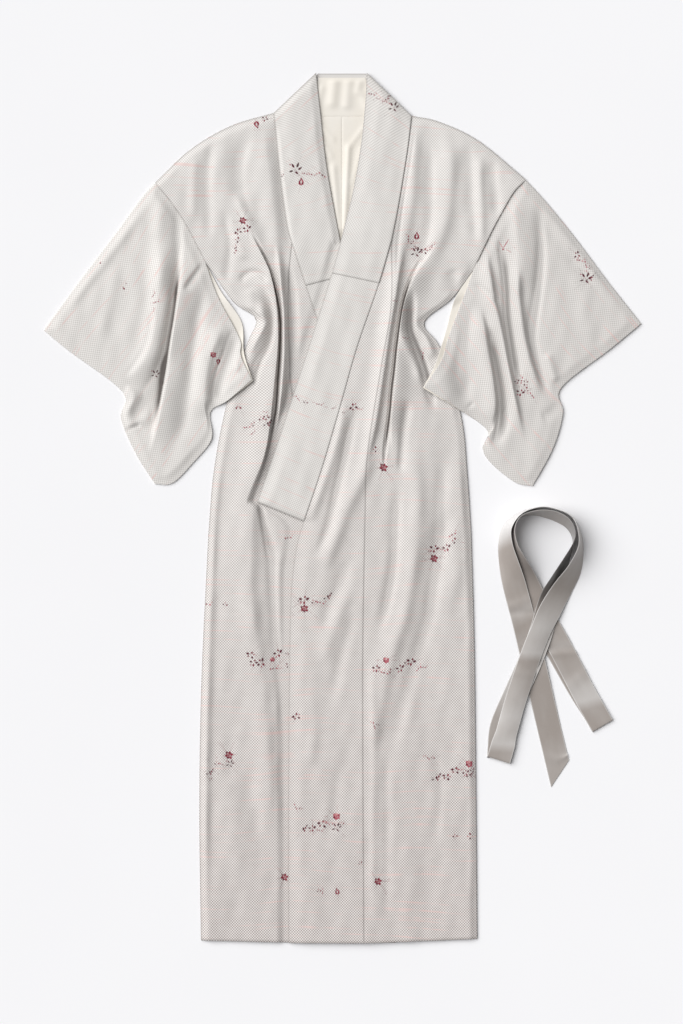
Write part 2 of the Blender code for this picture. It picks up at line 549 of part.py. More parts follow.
def make_right_front():
    """Front panel, overlap and collar of the side that lies beneath. What the left front hides is plain."""
    neck_seam = smooth_path(NECK_SEAM_RIGHT, NECK_ROWS)
    okumi_seam = joined(
        smooth_path(OKUMI_CHEST_RIGHT, CHEST_ROWS),
        smooth_path(np.vstack([OKUMI_CHEST_RIGHT[-1:], mirrored(OKUMI_SKIRT_LEFT[1:])]), SKIRT_ROWS),
    )
    seam = joined(neck_seam, okumi_seam)
    grid = panel(body_side(RIGHT_SIDE), seam, SHOULDER_RIGHT[1:-1], columns=FRONT_COLUMNS, bias=0.8)
    lay_panel("front_right", grid, right_height, CLOTH, PATTERNED, falling=False)

    crossing = NECK_SEAM_RIGHT[-1:]
    chest_seam = smooth_path(np.vstack([crossing, mirrored(CHEST_SEAM_LEFT[1:])]), CHEST_ROWS)
    hidden_edge = joined(chest_seam, smooth_path(mirrored(OKUMI_EDGE_LEFT), SKIRT_ROWS))
    grid = panel(okumi_seam[1:], hidden_edge[1:], columns=COLLAR_COLUMNS)
    lay_panel("okumi_right", grid, right_height, CLOTH, PATTERNED)

    hidden_collar = np.vstack([NECK_EDGE_RIGHT[-1:], mirrored(CHEST_EDGE_LEFT[1:])])
    edge = collar_edge(NECK_EDGE_RIGHT, hidden_collar)
    collar = panel(joined(neck_seam, chest_seam), edge, columns=COLLAR_COLUMNS)
    lay_panel("collar_right", collar, right_height, COLLAR_CLOTH, PATTERNED)
    over = collar[: NECK_ROWS + OVER_ROWS + 1]
    lay_panel("over_collar_right", over, above(right_height, COLLAR_CLOTH), OVER_CLOTH, PATTERNED)


def collar_edge(neck, chest):
    """A collar's free edge, with a row where the second collar ends."""
    return joined(
        smooth_path(neck, NECK_ROWS),
        smooth_path(chest[:2], OVER_ROWS),
        smooth_path(chest[1:], CHEST_ROWS - OVER_ROWS),
    )


def above(underside, thickness):
    """Height function of what lies on a piece of that thickness."""
    return lambda x, y: underside(x, y) + thickness + SEAM_GAP


def make_left_front():
    """Front panel, overlap and collar of the side that lies on top."""
    neck_seam = smooth_path(NECK_SEAM_LEFT, NECK_ROWS)
    okumi_seam = joined(
        smooth_path(OKUMI_CHEST_LEFT, CHEST_ROWS),
        smooth_path(OKUMI_SKIRT_LEFT, SKIRT_ROWS),
    )
    seam = joined(neck_seam, okumi_seam)
    grid = panel(seam, body_side(LEFT_SIDE), SHOULDER_LEFT[1:-1], columns=FRONT_COLUMNS, bias=1.25)
    lay_panel("front_left", grid, left_height, CLOTH, PATTERNED, falling=False)

    chest_seam = smooth_path(CHEST_SEAM_LEFT, CHEST_ROWS)
    free_edge = smooth_path(OKUMI_EDGE_LEFT, SKIRT_ROWS)
    grid = panel(joined(chest_seam, free_edge)[1:], okumi_seam[1:], columns=OKUMI_COLUMNS)
    lay_panel("okumi_left", grid, left_height, CLOTH, PATTERNED)

    edge = collar_edge(NECK_EDGE_LEFT, CHEST_EDGE_LEFT)
    collar = panel(edge, joined(neck_seam, chest_seam), columns=COLLAR_COLUMNS)
    lay_panel("collar_left", collar, left_height, COLLAR_CLOTH, PATTERNED)
    over = collar[: NECK_ROWS + OVER_ROWS + 1]
    lay_panel("over_collar_left", over, above(left_height, COLLAR_CLOTH), OVER_CLOTH, PATTERNED)


def sleeve_hold(grid):
    """1 in the open sleeve, 0 along its folded top and its sewn lower edges."""
    from_top = np.linalg.norm(grid - grid[:1], axis=-1)
    from_bottom = np.linalg.norm(grid - grid[-1:], axis=-1)
    return rise(from_top, CREASE_TAPER) * rise(from_bottom, HEM_TAPER)


def make_sleeve(name, cut, folds, on_right):
    """One length folded along the top edge, the under layer up to the fold and the upper one down from it.

    A cream strip lies on the under layer where that shows past the open edge of the upper one.
    """
    rows = ARM_ROWS + FURI_ROWS
    far_edge = smooth_path(cut.outer, rows)
    layers = []
    for furi in (cut.furi, cut.under_furi):
        body_edge = joined(smooth_path(cut.armhole, ARM_ROWS), smooth_path(furi, FURI_ROWS))
        if on_right:
            grid = panel(far_edge, body_edge, cut.top[::-1][1:-1], cut.bottom, SLEEVE_COLUMNS)
        else:
            grid = panel(body_edge, far_edge, cut.top[1:-1], cut.bottom, SLEEVE_COLUMNS)
        layers.append(inset(grid))
    upper, under = layers
    body_column = -1 if on_right else 0
    from_furi = np.linalg.norm(upper - upper[:, body_column][:, None], axis=-1)
    over_lining = LINING_LIFT * (1 - rise(from_furi - 1.5 * SIDE_TAPER, SIDE_TAPER))
    over_lining[: ARM_ROWS - 1] = 0
    lift = relief(upper[..., 0], upper[..., 1], folds) * sleeve_hold(upper) + over_lining
    low = over_body(upper[..., 0], upper[..., 1]) + CLOTH + SEAM_GAP + lift
    under_low = over_body(under[..., 0], under[..., 1])

    # The two layers meet in one crease, half a wall above the floor
    inward = upper[1] - upper[0]
    inward = inward / np.linalg.norm(inward, axis=-1, keepdims=True) * CLOTH
    crease = upper[0].copy()
    upper_in, under_in = upper.copy(), under.copy()
    for grid, share in ((upper, 0.5), (under, 0.5), (upper_in, 1.4), (under_in, 1.4)):
        grid[0] = crease + inward * share
    crease_height = np.full(len(crease), CLOTH + SEAM_GAP / 2)
    kept = [0, ARM_ROWS // 2, *range(ARM_ROWS, rows + 1)]
    outer_grid = np.concatenate([
        np.dstack([under, under_low])[kept][::-1],
        np.column_stack([crease, crease_height])[None],
        np.dstack([upper, low + CLOTH]),
    ])
    inner_grid = np.concatenate([
        np.dstack([under_in, under_low + CLOTH])[kept][::-1],
        np.column_stack([crease + inward, crease_height])[None],
        np.dstack([upper_in, low]),
    ])
    cloth_wall("sleeve_" + name, outer_grid, inner_grid, PATTERNED, falling=not on_right)

    columns = slice(-LINING_COLUMNS, None) if on_right else slice(0, LINING_COLUMNS)
    strip = np.dstack([under, under_low + CLOTH + SEAM_GAP])[ARM_ROWS:, columns][::-1]
    cloth_wall("sleeve_lining_" + name, strip, strip + (0, 0, LINING), CREAM, falling=not on_right)


def ribbon_run(points, flipped, first_across=None):
    """Middle points of the ribbon and the vectors to its right-hand edge, at even steps along one run."""
    table = np.array(points, float)
    length = np.linalg.norm(np.diff(table[:, :2], axis=0), axis=1).sum()
    table = smooth_path(table, int(round(length / BELT_STEP)))
    plan, bank, lift = table[:, :2], np.radians(table[:, 2]), np.maximum(table[:, 3], 0)
    ahead = np.gradient(plan, axis=0)
    ahead /= np.linalg.norm(ahead, axis=1, keepdims=True)
    beside = np.column_stack([-ahead[:, 1], ahead[:, 0]])
    across = np.column_stack([beside * np.cos(bank)[:, None], np.sin(bank)]) * BELT_WIDTH / 2
    if flipped:
        across = -across
    if first_across is not None:
        across[0] = first_across
    height = lift + np.abs(np.sin(bank)) * BELT_WIDTH / 2 + np.abs(np.cos(bank)) * BELT_CLOTH / 2
    return np.column_stack([plan, height]), across


def turn_under(upper, lower, across, ahead):
    """Middle points of the ribbon where it folds back beneath itself."""
    angles = np.radians((30, 60, 90, 120, 150))[:, None]
    middle, half = (upper + lower) / 2, (upper - lower) / 2
    reach = np.linalg.norm(half)
    turned = middle + half * np.cos(angles) + ahead * reach * np.sin(angles)
    return turned, np.repeat(across[None], len(angles), axis=0)


def make_belt():
    """One ribbon swept along its route: out round the loop, back inside it, and under its second leg."""
    cut = np.array(BELT_POINT)
    first_across = np.append((cut[0] - cut[1]) / 2, 0)
    outward = ribbon_run(BELT_OUTWARD, False, first_across)
    back = ribbon_run(BELT_RETURN, True)
    hidden = ribbon_run(BELT_HIDDEN, False)
    middles, acrosses = [outward[0]], [outward[1]]
    for before, after in ((outward, back), (back, hidden)):
        ahead = before[0][-1] - before[0][-2]
        turn = turn_under(before[0][-1], after[0][0], before[1][-1], ahead / np.linalg.norm(ahead))
        middles += [turn[0], after[0]]
        acrosses += [turn[1], after[1]]
    middle, across = np.vstack(middles), np.vstack(acrosses)
    tangent = np.gradient(middle, axis=0)
    thick = np.cross(tangent, across)
    thick *= BELT_CLOTH / 2 / np.linalg.norm(thick, axis=1, keepdims=True)
    upper = np.stack([middle - across + thick, middle + across + thick], axis=1)
    lower = np.stack([middle - across - thick, middle + across - thick], axis=1)
    cloth_wall("belt", upper, lower, SATIN, roughness=0.35)


def clear_scene():
    for solid in list(bpy.data.objects):
        bpy.data.objects.remove(solid)


clear_scene()
make_backs()
make_neck()
make_right_front()
make_left_front()
make_sleeve("right", CUT_RIGHT, FOLDS_SLEEVE_RIGHT, on_right=True)
make_sleeve("left", CUT_LEFT, FOLDS_SLEEVE_LEFT, on_right=False)
make_belt()
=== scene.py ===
from collections import namedtuple

import bpy
import numpy as np
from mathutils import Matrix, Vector


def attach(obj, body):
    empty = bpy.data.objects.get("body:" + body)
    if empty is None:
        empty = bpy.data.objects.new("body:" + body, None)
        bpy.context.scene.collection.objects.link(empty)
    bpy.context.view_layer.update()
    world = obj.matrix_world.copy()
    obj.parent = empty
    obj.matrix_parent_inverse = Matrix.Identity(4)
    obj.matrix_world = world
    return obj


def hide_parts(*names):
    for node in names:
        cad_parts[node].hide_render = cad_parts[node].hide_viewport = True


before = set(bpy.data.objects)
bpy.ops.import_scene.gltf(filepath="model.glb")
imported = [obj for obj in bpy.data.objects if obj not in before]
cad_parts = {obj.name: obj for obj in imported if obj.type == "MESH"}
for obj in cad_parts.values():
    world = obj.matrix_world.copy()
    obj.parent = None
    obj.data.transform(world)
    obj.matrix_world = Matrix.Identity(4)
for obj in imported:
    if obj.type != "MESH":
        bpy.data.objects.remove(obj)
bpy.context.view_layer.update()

# The back. Two loom widths of fine patterned silk, sewn together down the centre back, lie flat on the
# floor under everything else. Front and back are one length over the shoulder, so the cloth is told here:
# a pale ground with a small lattice of dots, and broken pink threads along the weft.
LENGTH = 1.739
CLOTH = 0.0018          # silk and its lining together
SEAM_GAP = 0.0003
COLLAR_TOP = LENGTH / 2
HEM = -LENGTH / 2
CENTRE = -0.001
NECK_LINE = 0.783
ARM_ROWS, CHEST_ROWS, SKIRT_ROWS = 55, 130, 145     # of the grids, down armhole, chest and skirt
BACK_COLUMNS = 66
BACK_STEP = 3           # the flat backs keep every third row and column
MM = 1000               # folds and sprigs are given in millimetres

# Seam lines as the robe lies, in metres: x to the wearer's left, y towards the collar.
SHOULDER_RIGHT = ((-0.375, 0.650), (-0.305, 0.716), (-0.223, 0.764), (-0.137, 0.790))
SHOULDER_LEFT = ((0.138, 0.784), (0.193, 0.772), (0.272, 0.734), (0.367, 0.656))
ARMHOLE_RIGHT = ((-0.375, 0.650), (-0.347, 0.617), (-0.315, 0.570), (-0.274, 0.491))
ARMHOLE_LEFT = ((0.367, 0.656), (0.343, 0.632), (0.315, 0.584), (0.293, 0.542), (0.261, 0.474))
CHEST_SIDE_RIGHT = (
    (-0.274, 0.491), (-0.218, 0.412), (-0.173, 0.378), (-0.190, 0.330),
    (-0.231, 0.210), (-0.257, 0.076), (-0.268, -0.050),
)
CHEST_SIDE_LEFT = (
    (0.261, 0.474), (0.218, 0.418), (0.163, 0.370), (0.196, 0.318),
    (0.237, 0.184), (0.249, 0.072), (0.257, -0.050),
)
SKIRT_SIDE_RIGHT = ((-0.268, -0.050), (-0.282, -0.348), (-0.286, -0.600), (-0.283, -0.864))
SKIRT_SIDE_LEFT = ((0.257, -0.050), (0.263, -0.266), (0.266, -0.504), (0.269, -0.861))


CURVE_POINTS = 12       # worked out on a smooth curve from each given point to the next


def smooth_path(points, steps):
    """Points at equal steps along a smooth curve through the given points."""
    points = np.array(points, float)
    if len(points) == 2:
        dense = points
    else:
        ends = np.vstack([2 * points[0] - points[1], points, 2 * points[-1] - points[-2]])
        t = np.linspace(0, 1, CURVE_POINTS, endpoint=False)[:, None]
        runs = []
        for a, b, c, d in zip(ends, ends[1:], ends[2:], ends[3:]):
            bend = (2 * a - 5 * b + 4 * c - d) * t**2 + (3 * b - a - 3 * c + d) * t**3
            runs.append(b + ((c - a) * t + bend) / 2)
        dense = np.vstack(runs + [points[-1:]])
    along = np.concatenate([[0], np.cumsum(np.linalg.norm(np.diff(dense[:, :2], axis=0), axis=1))])
    at = np.linspace(0, along[-1], steps + 1)
    return np.column_stack([np.interp(at, along, column) for column in dense.T])


def joined(*stretches):
    """One edge from several sampled stretches that share their end points."""
    return np.vstack([stretches[0]] + [stretch[1:] for stretch in stretches[1:]])


def rise(distance, run):
    """0 at and before distance 0, smoothly up to 1 at the end of the run."""
    t = np.clip(np.asarray(distance) / run, 0, 1)
    return t * t * (3 - 2 * t)


def panel(left, right, top=(), bottom=(), columns=4, fold=None):
    """A grid of floor points between two sampled edges, rows down and columns to the right."""
    u = np.linspace(0, 1, columns + 1)[None, :, None]
    if fold:
        u = closer_columns(left, right, fold, columns)[:, :, None]
    v = np.linspace(0, 1, len(left))[:, None, None]
    grid = (1 - u) * left[:, None, :] + u * right[:, None, :]
    for row, between, fade in ((0, top, 1 - v), (-1, bottom, v)):
        edge = smooth_path((left[row], *between, right[row]), columns)
        grid = grid + fade * (edge - ((1 - u[row]) * left[row] + u[row] * right[row]))
    return grid


def inset(grid):
    """The same grid drawn in by half a seam gap on all four sides."""
    grid = grid.copy()
    for rim, inner in ((0, 1), (-1, -2)):
        for axis in (0, 1):
            lines = np.moveaxis(grid, axis, 0)
            step = lines[inner] - lines[rim]
            lines[rim] += step * (SEAM_GAP / 2) / np.linalg.norm(step, axis=-1, keepdims=True)
    return grid


def from_rim(grid):
    """Distance of each point from the nearest edge of its panel, along the grid."""
    nearest = np.full(grid.shape[:2], np.inf)
    for axis in (0, 1):
        lines = np.moveaxis(grid, axis, 0)
        along = np.linalg.norm(np.diff(lines, axis=0), axis=-1)
        along = np.concatenate([np.zeros_like(along[:1]), np.cumsum(along, axis=0)])
        nearer = np.minimum(along, along[-1] - along)
        nearest = np.minimum(nearest, np.moveaxis(nearer, 0, axis))
    return nearest


def between_points(grid, rows, columns):
    """Values of a grid at fractional rows and columns, on smooth curves through its own points."""
    def shares(t):
        return (
            ((2 - t) * t - 1) * t / 2, ((3 * t - 5) * t * t + 2) / 2,
            ((4 - 3 * t) * t + 1) * t / 2, (t - 1) * t * t / 2,
        )

    row = np.minimum(np.floor(rows).astype(int), grid.shape[0] - 2)
    column = np.minimum(np.floor(columns).astype(int), grid.shape[1] - 2)
    found = np.zeros((len(rows), grid.shape[2]))
    for i, down in enumerate(shares(rows - row)):
        r = np.clip(row + i - 1, 0, grid.shape[0] - 1)
        for j, across in enumerate(shares(columns - column)):
            c = np.clip(column + j - 1, 0, grid.shape[1] - 1)
            found += (down * across)[:, None] * grid[r, c]
    return found


def cells(corners):
    """The four corners of each cell of a grid, in order round it."""
    return np.stack([
        corners[..., :-1, :-1], corners[..., 1:, :-1], corners[..., 1:, 1:], corners[..., :-1, 1:],
    ], axis=-1)


PRINT_CUTS = 4          # a cell that carries part of a printed sprig is cut 4 by 4


def printed_cells(field, printed):
    """Points and faces of a grid whose printed cells are cut finer, with no open joints round them."""
    rows, columns = field.shape[:2]
    index = np.arange(rows * columns).reshape(rows, columns)
    k = PRINT_CUTS
    down, across = (at[:, None, None] * k for at in np.nonzero(printed))
    steps = np.arange(k + 1)
    width = columns * k + 1
    key = (down + steps[:, None]) * width + across + steps
    fresh = np.unique(key)
    fresh_down, fresh_across = fresh // width, fresh % width
    corner = (fresh_down % k == 0) & (fresh_across % k == 0)
    number = np.where(corner, index[fresh_down // k * corner, fresh_across // k * corner], -1)
    number[~corner] = rows * columns + np.arange((~corner).sum())
    extra = between_points(field, fresh_down[~corner] / k, fresh_across[~corner] / k)
    numbered = dict(zip(fresh.tolist(), number.tolist()))
    faces = cells(number[np.searchsorted(fresh, key)]).reshape(-1, 4).tolist()

    ringed = np.zeros_like(printed)
    ringed[1:] |= printed[:-1]
    ringed[:-1] |= printed[1:]
    ringed[:, 1:] |= printed[:, :-1]
    ringed[:, :-1] |= printed[:, 1:]
    faces += cells(index)[~printed & ~ringed].tolist()
    for row, column in zip(*np.nonzero(ringed & ~printed)):
        corners = ((row, column), (row + 1, column), (row + 1, column + 1), (row, column + 1))
        face = []
        for (ra, ca), (rb, cb) in zip(corners, corners[1:] + corners[:1]):
            face.append(int(index[ra, ca]))
            for s in range(1, k):
                key = (ra * (k - s) + rb * s) * width + ca * (k - s) + cb * s
                if key in numbered:
                    face.append(numbered[key])
        faces.append(face)
    return np.vstack([field.reshape(-1, field.shape[2]), extra]), faces


# One stroke of a sprig: its start, direction, length and width in millimetres, and its ink. A sprig is a
# kind of flower, bud or leaf at its place on the cloth in millimetres, with its turn in degrees and size.
Stroke = namedtuple("Stroke", "x y turn length width ink")
Sprig = namedtuple("Sprig", "kind x y turn size")
PETAL_START = 1.5
INKS = {
    "plum": (0.085, 0.007, 0.020),
    "wine": (0.200, 0.010, 0.030),
    "rose": (0.400, 0.085, 0.115),
    "blush": (0.620, 0.330, 0.320),
    "umber": (0.075, 0.031, 0.035),
}


def petal(turn, length, width, ink):
    """A stroke that starts a little out from the middle of a flower."""
    a = np.radians(turn)
    return Stroke(PETAL_START * np.cos(a), PETAL_START * np.sin(a), turn, length, width, ink)


SPRIG_KINDS = {
    "bloom": [
        petal(12, 3.9, 2.0, "wine"), petal(73, 3.4, 1.9, "wine"), petal(131, 4.2, 1.9, "plum"),
        petal(189, 3.6, 2.1, "wine"), petal(247, 3.3, 1.9, "plum"), petal(304, 4.1, 1.9, "wine"),
        petal(12, 1.9, 0.8, "rose"), petal(131, 2.1, 0.8, "blush"), petal(304, 2.0, 0.8, "rose"),
        petal(247, 1.6, 0.7, "rose"), Stroke(-1.5, 0.1, 0, 3.0, 1.7, "wine"),
        Stroke(-0.5, 0.3, 0, 1.1, 0.6, "blush"),
    ],
    "faded": [
        petal(30, 3.4, 2.4, "rose"), petal(88, 3.0, 2.2, "blush"), petal(142, 3.6, 2.3, "rose"),
        petal(203, 3.1, 2.4, "wine"), petal(262, 3.3, 2.1, "rose"), petal(322, 3.5, 2.3, "rose"),
        petal(30, 1.8, 0.8, "wine"), petal(142, 1.8, 0.7, "blush"), Stroke(-1.4, 0.1, 0, 2.8, 1.6, "rose"),
    ],
    "rosebud": [
        Stroke(-1.0, -4.5, 112, 5.2, 1.8, "wine"), Stroke(1.2, -4.6, 66, 5.4, 1.7, "wine"),
        Stroke(-2.4, -1.0, 62, 4.2, 1.4, "wine"), Stroke(2.6, -0.6, 112, 4.4, 1.4, "rose"),
        Stroke(0.2, 2.6, 80, 2.6, 1.6, "wine"), Stroke(-0.6, -4.4, 10, 1.8, 1.2, "rose"),
    ],
    "fan": [
        Stroke(1.0, 1.8, 68, 6.2, 1.5, "umber"), Stroke(-2.0, 1.5, 122, 5.6, 1.4, "plum"),
        Stroke(2.6, -0.8, 37, 5.4, 1.3, "plum"), Stroke(-3.2, -1.9, 197, 5.0, 1.2, "umber"),
        Stroke(-0.6, -3.0, 318, 4.4, 1.3, "plum"), Stroke(-6.0, 4.4, 135, 2.0, 1.0, "rose"),
    ],
    "leaves": [
        Stroke(-3.6, 1.6, 155, 4.2, 1.8, "plum"), Stroke(-1.0, -1.6, 250, 3.8, 1.7, "wine"),
        Stroke(1.4, 0.2, 20, 4.8, 1.9, "plum"), Stroke(0.4, 2.6, 75, 3.0, 1.5, "wine"),
        Stroke(-4.6, -2.2, 200, 2.6, 1.2, "rose"),
    ],
    "twig": [
        Stroke(-9.0, -5.0, 30, 6.0, 0.7, "blush"), Stroke(-3.6, -1.9, 27, 5.4, 0.7, "rose"),
        Stroke(-7.6, -3.0, 85, 3.6, 1.5, "plum"), Stroke(-2.2, -2.2, 340, 4.2, 1.6, "wine"),
        Stroke(1.6, 1.2, 78, 3.8, 1.6, "plum"), Stroke(3.4, 0.6, 12, 4.6, 1.7, "plum"),
        Stroke(8.4, 3.6, 40, 2.8, 1.2, "rose"),
    ],
    "berries": [
        Stroke(-1.3, 0.0, 0, 2.8, 2.6, "plum"), Stroke(1.9, 1.5, 0, 2.4, 2.2, "wine"),
        Stroke(0.7, -3.0, 0, 2.2, 2.1, "wine"), Stroke(-3.9, -2.2, 205, 3.4, 1.2, "umber"),
        Stroke(3.9, 3.4, 50, 3.8, 1.3, "plum"),
    ],
    "petals": [
        Stroke(-4.8, 0.2, 160, 3.0, 1.2, "rose"), Stroke(-1.0, 0.6, 200, 3.0, 1.3, "wine"),
        Stroke(1.6, -0.8, 340, 3.2, 1.3, "rose"), Stroke(5.4, 0.8, 25, 2.6, 1.1, "blush"),
    ],
    "specks": [
        Stroke(-1.6, 0.0, 130, 3.0, 1.3, "plum"), Stroke(1.8, -0.6, 30, 3.2, 1.3, "wine"),
        Stroke(0.4, 2.6, 80, 1.8, 1.0, "rose"),
    ],
    "dot": [
        Stroke(-1.3, 0.0, 20, 2.8, 2.0, "wine"), Stroke(0.6, 2.0, 50, 2.4, 0.8, "rose"),
    ],
    "stems": [
        Stroke(0.0, 0.0, 58, 14.0, 0.6, "rose"), Stroke(0.0, 0.0, 122, 11.0, 0.6, "blush"),
        Stroke(-1.2, -1.4, 10, 2.6, 1.1, "rose"), Stroke(4.0, -1.5, 330, 8.0, 0.5, "blush"),
    ],
}


SPRIG_REACH = 0.016     # from its middle to its farthest stroke, at size 1
STROKE_SWELL = 1.65     # breadth of a stroke to the width given
STROKE_HEEL = 0.8       # below 1, its widest place is nearer its start
STROKE_BLUNT = 0.7      # below 1, its ends are blunter
INK_EDGE = 0.5          # millimetres over which the ink fades at its edge
LEAST_INK = 0.001


def ink_at(x, y, sprigs, spread=0.0):
    """Ink colour and how much of it each floor point carries. Spread widens every stroke, in metres."""
    ink = np.zeros(x.shape + (4,))
    for sprig in sprigs:
        reach = SPRIG_REACH * sprig.size + spread
        dx, dy = x - sprig.x / MM, y - sprig.y / MM
        near = (np.abs(dx) < reach) & (np.abs(dy) < reach)
        turn = np.radians(sprig.turn)
        dx, dy = dx[near] / sprig.size * MM, dy[near] / sprig.size * MM
        px, py = dx * np.cos(turn) + dy * np.sin(turn), dy * np.cos(turn) - dx * np.sin(turn)
        part = ink[near]
        for stroke in SPRIG_KINDS[sprig.kind]:
            a = np.radians(stroke.turn)
            along = (px - stroke.x) * np.cos(a) + (py - stroke.y) * np.sin(a)
            across = (py - stroke.y) * np.cos(a) - (px - stroke.x) * np.sin(a)
            margin = spread * MM / sprig.size
            share = np.clip((along + margin) / (stroke.length + 2 * margin), 0, 1)
            outline = np.sin(np.pi * share ** STROKE_HEEL) ** STROKE_BLUNT
            half = (stroke.width * STROKE_SWELL / 2 + margin) * outline
            cover = rise(half - np.abs(across) + INK_EDGE / 2, INK_EDGE)[:, None]
            part[:, :3] = part[:, :3] * (1 - cover) + np.array(INKS[stroke.ink]) * cover
            part[:, 3:] = part[:, 3:] * (1 - cover) + cover
        ink[near] = part
    ink[..., :3] /= np.maximum(ink[..., 3:], LEAST_INK)
    return ink


def add_node(tree, kind, *inputs, **settings):
    """A shader node with its settings, fed with sockets or plain values."""
    made = tree.nodes.new(kind)
    for name, value in settings.items():
        setattr(made, name, value)
    for slot, value in zip(made.inputs, inputs):
        if isinstance(value, bpy.types.NodeSocket):
            tree.links.new(value, slot)
        elif value is not None:
            slot.default_value = value
    return made


def sums(tree, operation, *values):
    """One step of arithmetic between sockets or plain values."""
    return add_node(tree, "ShaderNodeMath", *values, operation=operation).outputs[0]


MIX_SHARE, MIX_FIRST, MIX_SECOND, MIX_RESULT = 0, 6, 7, 2      # the Mix node's own sockets for colours


def blended(tree, share, first, second):
    """The second colour over the first, by a share from 0 to 1."""
    made = add_node(tree, "ShaderNodeMix", data_type="RGBA")
    for slot, value in ((MIX_SHARE, share), (MIX_FIRST, first), (MIX_SECOND, second)):
        if isinstance(value, bpy.types.NodeSocket):
            tree.links.new(value, made.inputs[slot])
        else:
            made.inputs[slot].default_value = value if slot == MIX_SHARE else (*value, 1)
    return made.outputs[MIX_RESULT]


def uneven(tree, place, stretch, detail=2.0):
    """Soft noise over the cloth, with its grain so many times per metre across and along."""
    mapping = add_node(tree, "ShaderNodeMapping", place, None, None, (*stretch, 1.0))
    return add_node(tree, "ShaderNodeTexNoise", mapping.outputs[0], None, 1.0, detail).outputs[0]


def new_cloth(name):
    """A material, its nodes, its shader and the cloth's own places, in metres across and along."""
    material = bpy.data.materials.new(name)
    material.use_nodes = True
    tree = material.node_tree
    weave = add_node(tree, "ShaderNodeUVMap", uv_map="weave").outputs[0]
    return material, tree, tree.nodes["Principled BSDF"], weave


def feed(tree, shader, colour, rough, relief, strength, distance, plain):
    """Feeds a shader with its colour, its roughness, its fine relief and its plain values."""
    bump = add_node(tree, "ShaderNodeBump", strength, distance)
    tree.links.new(relief, bump.inputs["Height"])
    for socket, value in (("Base Color", colour), ("Roughness", rough), ("Normal", bump.outputs[0])):
        tree.links.new(value, shader.inputs[socket])
    for socket, value in plain.items():
        shader.inputs[socket].default_value = value


def peaks(tree, noise, level, sharpness):
    """The peaks of a noise above a level, from 0 to 1."""
    over = sums(tree, "MULTIPLY", sums(tree, "SUBTRACT", noise, level), sharpness)
    return add_node(tree, "ShaderNodeClamp", over).outputs[0]


DOT_ACROSS, DOT_ALONG = 0.0053, 0.0055    # repeat of the woven dots, with a second row half a step on
DOT_DEPTH = 0.60                          # how far a dot goes from the light tone to the dark one
PATCH_LEAST, PATCH_RANGE = 0.85, 0.3      # the depth differs this much from place to place
THREAD_PINK = (0.74, 0.55, 0.52)
THREAD_SWAY = 0.035
THREADS_SEEN = 0.75
# Painted shade: the brown the cloth is darkened towards in creases and seam grooves, and how far at most.
PAINTED_SHADE_BROWN = (0.060, 0.048, 0.042)
PAINTED_SHADE_STRENGTH = 0.92
# Grains, so many to the metre across and along the weave.
PATCHES, SWAYS, THREADS, BREAKS, FIBRES = (38, 60), (5, 3), (4.5, 200), (35, 50), (900, 700)


def patterned_silk(name, light, dark, dark_low, depth_low=DOT_DEPTH):
    """Fine silk in two tones: woven dots in a lattice, broken pink weft threads, printed sprigs and painted
    crease shade.

    Towards the hem the dots turn from the dark tone to dark_low, and go from DOT_DEPTH to depth_low, which
    paints shade for light falling off towards the hem.
    """
    material, tree, shader, weave = new_cloth(name)
    across, along, _ = add_node(tree, "ShaderNodeSeparateXYZ", weave).outputs
    waves = [
        sums(tree, "COSINE", sums(tree, "MULTIPLY", run, 2 * np.pi / repeat))
        for run, repeat in ((across, DOT_ACROSS), (along, DOT_ALONG))
    ]
    lattice = sums(tree, "MULTIPLY", *waves)
    patchy = uneven(tree, weave, PATCHES)
    depth, down = (
        add_node(tree, "ShaderNodeMapRange", along, COLLAR_TOP, HEM, *ends).outputs[0]
        for ends in ((DOT_DEPTH, depth_low), (0.0, 1.0))
    )
    dark = blended(tree, down, dark, dark_low)
    depth = sums(tree, "MULTIPLY", depth, sums(tree, "MULTIPLY_ADD", patchy, PATCH_RANGE, PATCH_LEAST))
    dots = sums(tree, "MULTIPLY_ADD", lattice, 0.9, 0.5)
    dots.node.use_clamp = True
    colour = blended(tree, sums(tree, "MULTIPLY", dots, depth), light, dark)

    swayed = sums(tree, "MULTIPLY_ADD", uneven(tree, weave, SWAYS, 0.0), THREAD_SWAY, along)
    swayed = add_node(tree, "ShaderNodeCombineXYZ", across, swayed).outputs[0]
    threads = peaks(tree, uneven(tree, swayed, THREADS), level=0.59, sharpness=12.0)
    broken = peaks(tree, uneven(tree, weave, BREAKS, 1.0), level=0.36, sharpness=5.0)
    share = sums(tree, "MULTIPLY", sums(tree, "MULTIPLY", threads, broken), THREADS_SEEN)
    colour = blended(tree, share, colour, THREAD_PINK)

    ink = add_node(tree, "ShaderNodeAttribute", attribute_name="sprig_ink")
    colour = blended(tree, ink.outputs["Alpha"], colour, ink.outputs["Color"])
    # Painted shade in creases and seam grooves, from the tone attribute.
    crease = add_node(tree, "ShaderNodeAttribute", attribute_name="tone").outputs["Fac"]
    colour = blended(tree, sums(tree, "MULTIPLY", crease, PAINTED_SHADE_STRENGTH), colour, PAINTED_SHADE_BROWN)

    relief = sums(tree, "ADD", sums(tree, "MULTIPLY", lattice, 0.35), uneven(tree, weave, FIBRES, 1.0))
    rough = sums(tree, "MULTIPLY_ADD", patchy, 0.12, 0.66)
    plain = {"Sheen Weight": 0.12, "Sheen Roughness": 0.5, "Specular IOR Level": 0.25}
    feed(tree, shader, colour, rough, relief, 0.25, 0.0002, plain)
    return material


